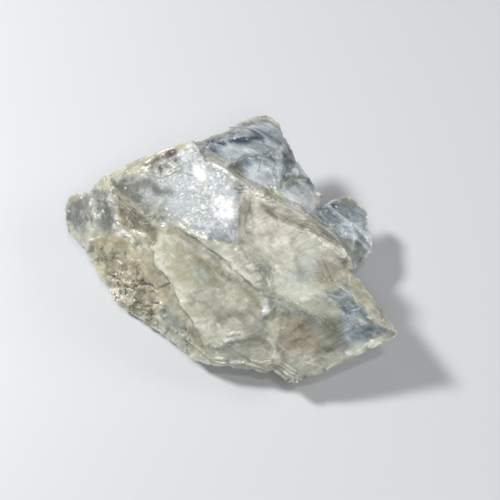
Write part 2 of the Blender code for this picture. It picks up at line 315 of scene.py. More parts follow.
@dataclass(frozen=True)
class Patch:
    """A round stretch of the stone: where its middle is, how far it reaches and how strong it is there."""

    x: float
    y: float
    z: float
    radius: float
    strength: float = 1.0

    def cover(self, places: np.ndarray) -> np.ndarray:
        """Gives how strongly it covers places, fading to 0 at its reach."""
        away = np.linalg.norm(places - (self.x, self.y, self.z), axis=1) / self.radius
        return np.clip(1.6 * eased(1.0 - away), 0.0, 1.0) * self.strength

    def cone(self, places: np.ndarray) -> np.ndarray:
        """Gives the height of a blunt cone over it."""
        away = np.linalg.norm(places - (self.x, self.y, self.z), axis=1) / self.radius
        return np.clip(1.0 - away, 0.0, 0.8) * self.strength


def cover(places: np.ndarray, patches: Sequence[Patch]) -> np.ndarray:
    """Gives how strongly the strongest of some patches covers places."""
    return np.max([patch.cover(places) for patch in patches], axis=0)


class Form(Enum):
    """How a line stands out from the stone."""

    CREST = "crest"
    CRACK = "crack"
    LEDGE = "ledge"  # the edge of a sheet that lies on the left of the line and thins away from it
    COLOUR_ONLY = "stain"  # colour alone


@dataclass(frozen=True)
class Stroke:
    """A crest, a crack, a ledge or a line of colour alone, and the tone that it shows there."""

    form: Form
    points: tuple[tuple[float, float, float], ...]
    height: float
    width: float
    tone: Tone | None = None
    strength: float = 0.6
    lap: float = 0.15
    ledge_stain: float = 0.45

    def heights(self, places: np.ndarray) -> np.ndarray:
        """Gives how far it lifts places, or lowers them where it is a crack.

        Args:
            places: rows of x, y and z in millimetres.

        Returns:
            One height for each place.
        """
        if self.form is Form.COLOUR_ONLY:
            return np.zeros(len(places))
        nearest, side, along = line_frame(places, self.points)
        ends = eased(np.minimum(along, 1.0 - along) * 6.0 + 0.15)
        if self.form is Form.LEDGE:
            return ends * self.height * eased(side / self.lap) * np.exp(-np.maximum(side, 0.0) / self.width)
        share = np.clip(1.0 - nearest / self.width, 0.0, 1.0)
        return ends * self.height * (share if self.form is Form.CREST else -eased(share))

    def paint(self, places: np.ndarray) -> np.ndarray:
        """Gives how strongly it colours places.

        Args:
            places: rows of x, y and z in millimetres.

        Returns:
            One share for each place.
        """
        nearest, _, along = line_frame(places, self.points)
        ends = eased(np.minimum(along, 1.0 - along) * 8.0 + 0.2)
        across = self.ledge_stain if self.form is Form.LEDGE else 0.8 * self.width
        return self.strength * ends * eased(1.2 * (1.0 - nearest / across))


@dataclass(frozen=True)
class Sheets:
    """Thin sheets of cleavage whose broken edges run side by side along a line. Each climbs over most of its
    width and then drops to the next."""

    points: tuple[tuple[float, float, float], ...]
    reach: float
    spacing: float
    rise: float
    climb: float = 0.8

    def heights(self, places: np.ndarray, wander: np.ndarray, strength: np.ndarray) -> np.ndarray:
        """Gives how far the sheets lift places.

        Args:
            places: rows of x, y and z in millimetres.
            wander: soft noise that bends the edges.
            strength: soft noise that lets the edges come and go.

        Returns:
            One height for each place.
        """
        nearest, _, _ = line_frame(places, self.points)
        count = nearest / self.spacing + 0.9 * wander
        part = count - np.floor(count)
        lift = np.where(part < self.climb, part / self.climb, (1.0 - part) / (1.0 - self.climb)) - 0.5
        inside = eased((1.0 - nearest / self.reach) * 2.0)
        return self.rise * inside * lift * np.clip(0.55 + 1.4 * strength, 0.0, 1.0)


@dataclass(frozen=True)
class Ripples:
    """The rings of a shell-shaped break, round the point where it started."""

    patch: Patch
    start: tuple[float, float, float]
    spacing: float
    depth: float

    def heights(self, places: np.ndarray, wander: np.ndarray, strength: np.ndarray) -> np.ndarray:
        """Gives how far the rings lift places.

        Args:
            places: rows of x, y and z in millimetres.
            wander: soft noise that bends the rings.
            strength: soft noise that lets the rings come and go.

        Returns:
            One height for each place.
        """
        away = np.linalg.norm(places - self.start, axis=1) / self.spacing
        ring = away + 1.1 * wander
        part = ring - np.floor(ring)
        fading = np.clip(0.35 + 1.6 * strength, 0.0, 1.0)
        return self.patch.cover(places) * self.depth * fading * (part**2 - 0.4)


@dataclass(frozen=True)
class Feathers:
    """Fine ridges that spread like a fan from the point where a break started."""

    patch: Patch
    start: tuple[float, float, float]
    count: int
    depth: float

    def heights(self, places: np.ndarray) -> np.ndarray:
        """Gives how far the ridges lift places.

        Args:
            places: rows of x, y and z in millimetres.

        Returns:
            One height for each place.
        """
        flat = laid_flat(places - np.array(self.start))
        angle = np.arctan2(flat[:, 1], flat[:, 0]) * self.count / math.tau
        fan = np.column_stack([angle * 2.0, np.linalg.norm(flat, axis=1) * 0.22, np.zeros(len(places))])
        return self.patch.cover(places) * self.depth * smooth_noise(fan, 1.0, 1.3)


@dataclass(frozen=True)
class Layers:
    """Layers of cleavage that a broken side shows as low steps of uneven height, mostly tread."""

    patch: Patch
    rise: float
    tread: float = 0.7

    def moves(self, places: np.ndarray, wander: np.ndarray) -> np.ndarray:
        """Gives how far places move along the layers' normal to lie on their treads.

        Args:
            places: rows of x, y and z in millimetres.
            wander: soft noise that bends the steps.

        Returns:
            One distance for each place.
        """
        count = places @ np.array(LAYER_NORMAL) / self.rise + 1.3 * wander
        part = count - np.floor(count)
        climbed = np.clip((part - self.tread) / (1.0 - self.tread), 0.0, 1.0)
        return self.patch.cover(places) * (climbed - part) * self.rise


@dataclass(frozen=True)
class Facet:
    """A small face that leans out of the one it lies in, turned about its first corner: its outline, its rise
    per millimetre along each flat direction, and over how many millimetres its border is rounded."""

    corners: Sequence[tuple[float, float]]
    lean: tuple[float, float]
    border: float = 0.5

    def heights(self, places: np.ndarray) -> np.ndarray:
        """Works out how far the facet stands out of the face around it.

        Args:
            places: rows of x, y and z in millimetres.

        Returns:
            One height for each place, in millimetres.
        """
        flat = laid_flat(places)
        share = eased(depth_inside(flat, self.corners) / self.border + 0.5)
        return share * ((flat - np.array(self.corners[0])) @ np.array(self.lean))


@dataclass(frozen=True)
class Unevenness:
    """One size of what is uneven about a break: how wide and how high it is, and which pattern it follows."""

    size: float
    height: float
    seed: float

    def faces(self, places: np.ndarray, share: np.ndarray) -> np.ndarray:
        """Gives how far small flat faces lift places, by the share of the height that each place gets."""
        return facet_noise(places, self.size, self.seed, self.height * share)

    def swells(self, places: np.ndarray) -> np.ndarray:
        """Gives how far soft swells lift places."""
        return self.height * smooth_noise(places, self.size, self.seed)

    def moves(self, places: np.ndarray) -> np.ndarray:
        """Gives how far places are pushed about, each way at once."""
        rows = (places / self.size + self.seed).tolist()
        return self.height * np.array([noise.noise_vector(row) for row in rows])


# The lines that can be made out on the upper side, each named for what it is.
THIN_SHEET = (
    (-22.4, 14.3, 13.0), (-19.0, 11.1, 14.7), (-16.9, 10.8, 15.6), (-15.5, 12.6, 16.9), (-14.1, 11.2, 17.1),
    (-11.7, 10.2, 18.0), (-8.3, 11.0, 19.5),
)
BRIGHT_FACE_EDGE = (
    (-22.0, 11.2, 12.8), (-19.6, 8.0, 13.6), (-16.7, 4.9, 14.7), (-15.5, 3.0, 14.8), (-13.8, 1.7, 15.2),
)
GLITTER = ((-19.6, 2.1, 12.1), (-17.6, 0.2, 12.4), (-16.2, -1.4, 12.5))
CRUMB_CRACK = (
    (-22.9, -3.6, 3.8), (-20.7, -4.7, 4.7), (-19.1, -6.4, 5.4), (-17.4, -7.8, 6.3), (-15.7, -7.2, 7.1),
    (-13.8, -8.0, 8.7), (-12.2, -9.7, 9.0),
)
CRUMB_CRACK_LOW = ((-17.5, -8.4, 5.0), (-16.4, -10.1, 3.7), (-14.6, -10.9, 4.8), (-12.0, -11.5, 7.5))
SIDE_EDGE = (
    (-14.0, -2.0, 13.3), (-13.0, -3.3, 13.3), (-12.7, -5.4, 12.4), (-10.2, -8.2, 11.7), (-7.6, -13.4, 10.4),
    (-5.1, -16.6, 9.4), (-2.8, -20.6, 7.5),
)
FRONT_STEP_EDGE = (
    (-10.4, 1.3, 16.9), (-8.4, -0.5, 17.5), (-6.3, -2.2, 18.1), (-2.5, -5.0, 18.8), (1.4, -8.3, 18.1),
    (5.2, -11.8, 17.2), (6.8, -13.4, 16.5), (7.9, -14.9, 15.7),
)
HOLLOW_CREST = (
    (2.8, -5.5, 20.9), (3.7, -7.8, 20.2), (5.7, -9.7, 19.2), (7.7, -12.3, 17.2), (9.2, -13.9, 16.0),
)
LOW_SHEET = ((-1.7, -21.0, 7.5), (2.4, -20.3, 9.3), (6.5, -19.8, 10.6), (8.8, -20.1, 11.0))
SLAB_RIDGE = (
    (18.2, -4.6, 15.0), (19.5, -7.3, 14.3), (20.3, -10.6, 14.0), (22.5, -12.1, 14.1), (25.0, -13.7, 14.0),
    (26.5, -16.0, 13.7),
)
DOME_STEP = ((0.9, 10.1, 21.7), (3.8, 13.7, 19.2), (7.7, 15.1, 18.1), (11.5, 17.8, 16.4))
BLOCK_EDGE = (
    (14.5, 15.9, 13.9), (12.3, 13.4, 15.4), (11.5, 9.5, 15.8), (13.0, 12.5, 15.0), (17.1, 13.7, 12.5),
)
LOBE_FOLD = ((-26.1, 11.7, 10.0), (-26.0, 8.5, 10.3), (-24.9, 6.0, 9.9), (-24.6, 3.3, 9.1))
BLADE = ((0.9, -19.2, 10.0), (2.5, -19.05, 10.6), (4.1, -18.9, 11.1))
FOOT_EDGE_LOW = ((-1.5, -22.5, 5.0), (2.7, -22.8, 5.8), (6.3, -22.6, 6.7), (9.1, -23.6, 6.4))
SHADED_CREASE = ((8.1, -14.6, 16.0), (11.2, -16.2, 15.2), (14.4, -17.1, 14.9), (18.0, -18.2, 14.3))
SLAB_BEVEL = (
    (23.9, -6.5, 13.4), (23.9, -11.7, 13.7), (26.3, -14.5, 13.7), (27.6, -17.4, 13.5), (29.3, -18.8, 13.0),
)
SLAB_LEFT = (
    (10.9, -16.0, 15.1), (10.4, -18.1, 13.1), (10.2, -20.5, 11.2), (9.7, -21.9, 9.4), (9.5, -23.7, 6.4),
)
SLAB_CORNER = ((9.8, -23.9, 6.1), (12.8, -26.0, 5.5))
LIP_TOP = (
    (3.9, 5.6, 22.9), (7.6, 4.8, 21.7), (11.5, 3.8, 19.4), (16.6, 3.2, 15.2), (20.7, 1.5, 12.8),
    (23.4, -1.9, 13.1),
)
LIP_LOW = (
    (6.8, 2.8, 22.1), (10.2, 0.7, 19.2), (13.6, 0.0, 18.1), (17.1, -0.8, 17.2), (20.3, -2.6, 15.8),
    (22.8, -4.5, 14.6),
)
LIP_FOOT = ((8.8, 7.9, 17.3), (13.0, 6.7, 15.7), (17.4, 5.5, 12.7), (21.6, 3.7, 10.1), (24.3, 0.8, 9.2))
HOLLOW_ARC = ((6.3, -2.4, 18.6), (8.1, -2.4, 18.1), (9.3, -1.3, 18.2))
HOLLOW_ARC_LONG = ((5.4, -6.1, 19.2), (8.1, -7.8, 17.9), (11.8, -7.4, 15.9), (14.7, -5.1, 15.5))
HOLLOW_ARC_HIGH = ((7.6, 2.4, 21.0), (10.0, 1.1, 19.6), (10.9, -0.8, 18.0))
PLATE_CRACK = ((18.7, 6.7, 11.0), (21.8, 4.1, 10.1), (24.5, 2.2, 9.6))
UPPER_LEFT_RIM = ((-22.5, 14.6, 13.0), (-15.0, 16.2, 16.5), (-6.0, 18.0, 20.4))
BACK_RIM = ((-5.0, 18.4, 20.0), (1.0, 21.5, 18.0), (7.0, 25.5, 16.0))

STROKES = (
    Stroke(Form.LEDGE, THIN_SHEET, 0.13, 3.0, Tone.WHITE, 0.3, 0.1),
    Stroke(Form.CRACK, BRIGHT_FACE_EDGE, 0.4, 0.45, Tone.BROWN, 0.85),
    # painted glint along a small crest
    Stroke(Form.CREST, GLITTER, 0.8, 1.0, Tone.PAINTED_GLINT, 1.0),
    Stroke(Form.CRACK, CRUMB_CRACK, 0.5, 0.5, Tone.BROWN, 0.7),
    Stroke(Form.CRACK, CRUMB_CRACK_LOW, 0.5, 0.5, Tone.BROWN, 0.7),
    Stroke(Form.LEDGE, SIDE_EDGE, 0.45, 2.0, Tone.BROWN, 0.7, 0.5),
    Stroke(Form.LEDGE, FRONT_STEP_EDGE, 1.0, 3.5, Tone.SHADE, 0.75, 0.9),
    # painted highlight: a bright line along the crest between the hollow and the front face
    Stroke(Form.CREST, HOLLOW_CREST, 0.3, 0.8, Tone.CREAM, 1.0),
    Stroke(Form.LEDGE, LOW_SHEET, 0.22, 2.0, Tone.SHADE, 0.3, 0.6),
    Stroke(Form.LEDGE, SLAB_RIDGE, -0.4, 2.0, Tone.TAN, 0.5, 0.5),
    Stroke(Form.LEDGE, DOME_STEP, 0.7, 3.0, Tone.WHITE, 0.7, 0.4),
    Stroke(Form.CRACK, BLOCK_EDGE, 0.5, 0.6, Tone.SHADE, 0.7),
    Stroke(Form.CREST, LOBE_FOLD, 0.5, 1.2, Tone.PALE, 0.4),
    # painted glint along the blade
    Stroke(Form.CREST, BLADE, 0.35, 0.5, Tone.WHITE, 0.8),
    Stroke(Form.LEDGE, FOOT_EDGE_LOW, -0.3, 1.5, Tone.OLIVE, 0.3, 0.4),
    # painted shade along the crease between the hollow's foot and the slab
    Stroke(Form.COLOUR_ONLY, SHADED_CREASE, 0.0, 2.0, Tone.SMOKY_AND_SHADE, 0.75),
    Stroke(Form.LEDGE, SLAB_BEVEL, 0.25, 2.5, Tone.TAN, 0.4, 0.6),
    Stroke(Form.CREST, SLAB_LEFT, 0.25, 0.9, Tone.PALE, 0.4),
    Stroke(Form.CREST, LIP_TOP, 0.1, 3.2, Tone.CREAM, 0.9),
    Stroke(Form.LEDGE, LIP_TOP, -0.4, 1.2, Tone.TAN, 0.6),
    Stroke(Form.CRACK, LIP_LOW, 0.2, 1.1, Tone.BROWN, 0.6),
    Stroke(Form.LEDGE, LIP_FOOT, -0.4, 1.5, Tone.OLIVE, 0.5),
    Stroke(Form.CREST, HOLLOW_ARC, 0.07, 0.5, Tone.OLIVE, 0.3),
    Stroke(Form.CREST, HOLLOW_ARC_LONG, 0.07, 0.7, Tone.OLIVE, 0.2),
    Stroke(Form.CREST, HOLLOW_ARC_HIGH, 0.06, 0.5, Tone.TAN, 0.3),
    Stroke(Form.CRACK, PLATE_CRACK, 0.35, 0.5, Tone.OLIVE, 0.6),
)

SHEETS = (
    Sheets(LIP_TOP, 2.2, 0.62, 0.34),
    Sheets(LIP_LOW, 2.4, 0.55, 0.22),
    Sheets(LIP_FOOT, 1.8, 0.6, 0.32),
    Sheets(UPPER_LEFT_RIM, 1.8, 0.7, 0.2),
    Sheets(BACK_RIM, 2.4, 0.8, 0.28),
    Sheets(SLAB_CORNER, 3.0, 0.7, 0.34),
    Sheets(FOOT_EDGE_LOW, 2.0, 0.9, 0.09),
)

RIPPLES = (
    Ripples(Patch(11.5, -4.5, 17.0, 9.5), (8.5, 3.5, 21.0), 2.1, 0.09),
    Ripples(Patch(-1.0, -13.0, 13.5, 10.0), (-8.0, 1.5, 18.0), 3.4, 0.10),
    Ripples(Patch(1.0, -21.0, 8.0, 5.0), (2.0, -17.0, 12.0), 1.3, 0.07),
    Ripples(Patch(14.0, -20.0, 12.0, 8.0), (10.0, -14.0, 16.0), 2.4, 0.11),
)

FEATHERS = (
    Feathers(Patch(23.5, 3.5, 10.0, 8.5), (17.0, 9.0, 10.0), 44, 0.26),
    Feathers(Patch(-27.5, 5.5, 8.5, 8.5), (-24.0, 14.0, 11.0), 40, 0.10),
    Feathers(Patch(14.5, -14.5, 15.5, 5.0), (5.5, -10.5, 18.0), 70, 0.10),
    Feathers(Patch(8.0, 17.0, 17.0, 8.0), (-4.0, 16.0, 20.0), 60, 0.16),
)

LAYERS = (
    Layers(Patch(-8.0, 15.0, 8.0, 15.0), 1.3),
    Layers(Patch(-22.0, 13.0, 6.0, 12.0), 1.0),
    Layers(Patch(12.0, 14.0, 8.0, 14.0), 1.1),
    Layers(Patch(22.0, -14.0, 5.0, 14.0), 1.0),
    Layers(Patch(0.0, -22.0, 3.0, 10.0), 0.25),
)

CRUMBLED = (
    Patch(-19.0, -5.0, 6.5, 9.0),
    Patch(8.2, -16.1, 14.7, 2.0, 0.6),
    Patch(-14.0, -11.5, 5.0, 8.0),
    Patch(-22.5, -0.5, 7.0, 5.0, 0.7),
    Patch(-7.0, -18.0, 5.0, 6.0, 0.6),
    Patch(-16.0, 10.0, 3.0, 10.0, 0.5),
    Patch(6.0, 12.0, 5.0, 10.0, 0.4),
)

ROUGH = (
    Patch(14.0, 12.0, 14.0, 8.0, 0.8),
    Patch(-28.0, 6.0, 7.0, 9.0, 0.15),
    Patch(1.0, -22.5, 6.0, 9.0, 0.2),
    Patch(-10.0, 14.0, 7.0, 16.0, 0.9),
    Patch(10.0, 12.0, 8.0, 14.0, 0.9),
    Patch(20.0, -12.0, 5.0, 12.0, 0.9),
    Patch(-6.0, 15.0, 20.5, 4.0, 0.3),
)

# A flat window that looks into the stone, and the faces that lean out of those round them.
WINDOW = (
    (-13.8, 18.6), (-15.3, 19.5), (-15.1, 20.3), (-12.0, 22.0), (-8.9, 23.5), (-8.4, 22.3), (-8.7, 20.5),
    (-11.3, 19.3),
)

FACETS = (
    Facet(WINDOW, (0.02, -0.05), 1.1),
    Facet(((6.0, 9.0), (6.0, 12.6), (9.5, 11.8), (11.0, 9.5), (8.5, 8.5)), (-0.04, 0.09), 1.5),
)

# Where the break is smooth and curved like the inside of a shell, and where it is one even cleavage.
SHELL_SMOOTH = (
    Patch(12.0, -3.0, 17.0, 13.0),
    Patch(-1.0, -10.5, 14.5, 14.0),
    Patch(4.0, -19.0, 11.0, 7.0),
    Patch(5.0, -2.0, 19.5, 6.0),
)

FLAT = (
    Patch(-3.0, 5.0, 21.0, 12.0),
    Patch(-12.0, 10.0, 18.0, 10.0),
    Patch(-11.5, 15.0, 18.3, 8.0),
    Patch(-17.5, 13.5, 15.8, 7.0),
    Patch(22.0, -16.0, 13.0, 8.0, 0.8),
    Patch(-27.5, 5.5, 8.5, 9.0, 0.7),
    Patch(-21.0, 9.5, 13.5, 7.0, 0.8),
    Patch(16.0, -17.5, 13.0, 8.0, 0.8),
)

# Round lumps and, where the strength is below 0, small hollows.
LUMPS = (
    Patch(3.3, 5.3, 23.0, 1.4, 0.7),
    Patch(8.2, -16.1, 14.7, 1.9, 0.8),
    Patch(24.4, -5.8, 13.4, 1.9, -1.1),
    Patch(3.4, -9.4, 17.6, 1.4, 0.35),
)

# Outlines of the evenly curved faces, as flat corners.
HOLLOW = (
    (5.9, 14.3), (8.1, 12.9), (14.7, 9.8), (18.8, 7.0), (23.0, 3.7), (25.0, 0.3), (19.7, -3.5),
    (15.4, -6.5), (12.6, -7.4), (8.6, -6.1), (7.6, -4.8), (6.5, 0.0), (4.3, 2.4), (3.4, 4.7), (4.8, 10.2),
)
FRONT_FACE = (
    (-13.0, 4.4), (-10.4, 6.3), (-7.5, 5.7), (-3.9, 3.8), (0.6, 0.6), (5.4, -2.9), (7.9, -5.8), (7.0, -7.8),
    (8.1, -11.6), (4.1, -12.3), (-1.4, -13.7), (-3.9, -11.6), (-7.0, -8.1), (-8.7, -5.1), (-11.3, -1.0),
    (-13.0, 2.3),
)
SLAB_TOP = (
    (9.7, -4.2), (15.2, -6.1), (21.1, -8.5), (22.6, -12.0), (18.7, -13.2), (13.2, -10.8), (9.9, -8.3),
)

HOLLOW_STAIN = (
    (18.0, 2.1), (19.5, 2.6), (23.1, 2.1), (23.6, 0.6), (22.0, -1.5), (19.3, -3.0), (17.3, -2.4),
)
SLAB_WINDOW = (
    (19.3, -4.4), (22.6, -3.9), (25.7, -6.1), (26.2, -7.8), (24.2, -10.8), (22.2, -11.3), (22.2, -7.8),
    (21.2, -6.1),
)
SLAB_TIP = (
    (26.2, -7.8), (29.1, -10.3), (31.3, -11.0), (25.7, -13.7), (22.2, -14.9), (22.4, -11.9), (24.2, -10.8),
)
BACK_BLOT = ((-3.2, 24.3), (-0.8, 25.0), (1.2, 24.7), (-1.0, 23.1), (-1.3, 21.9), (-2.4, 22.2))

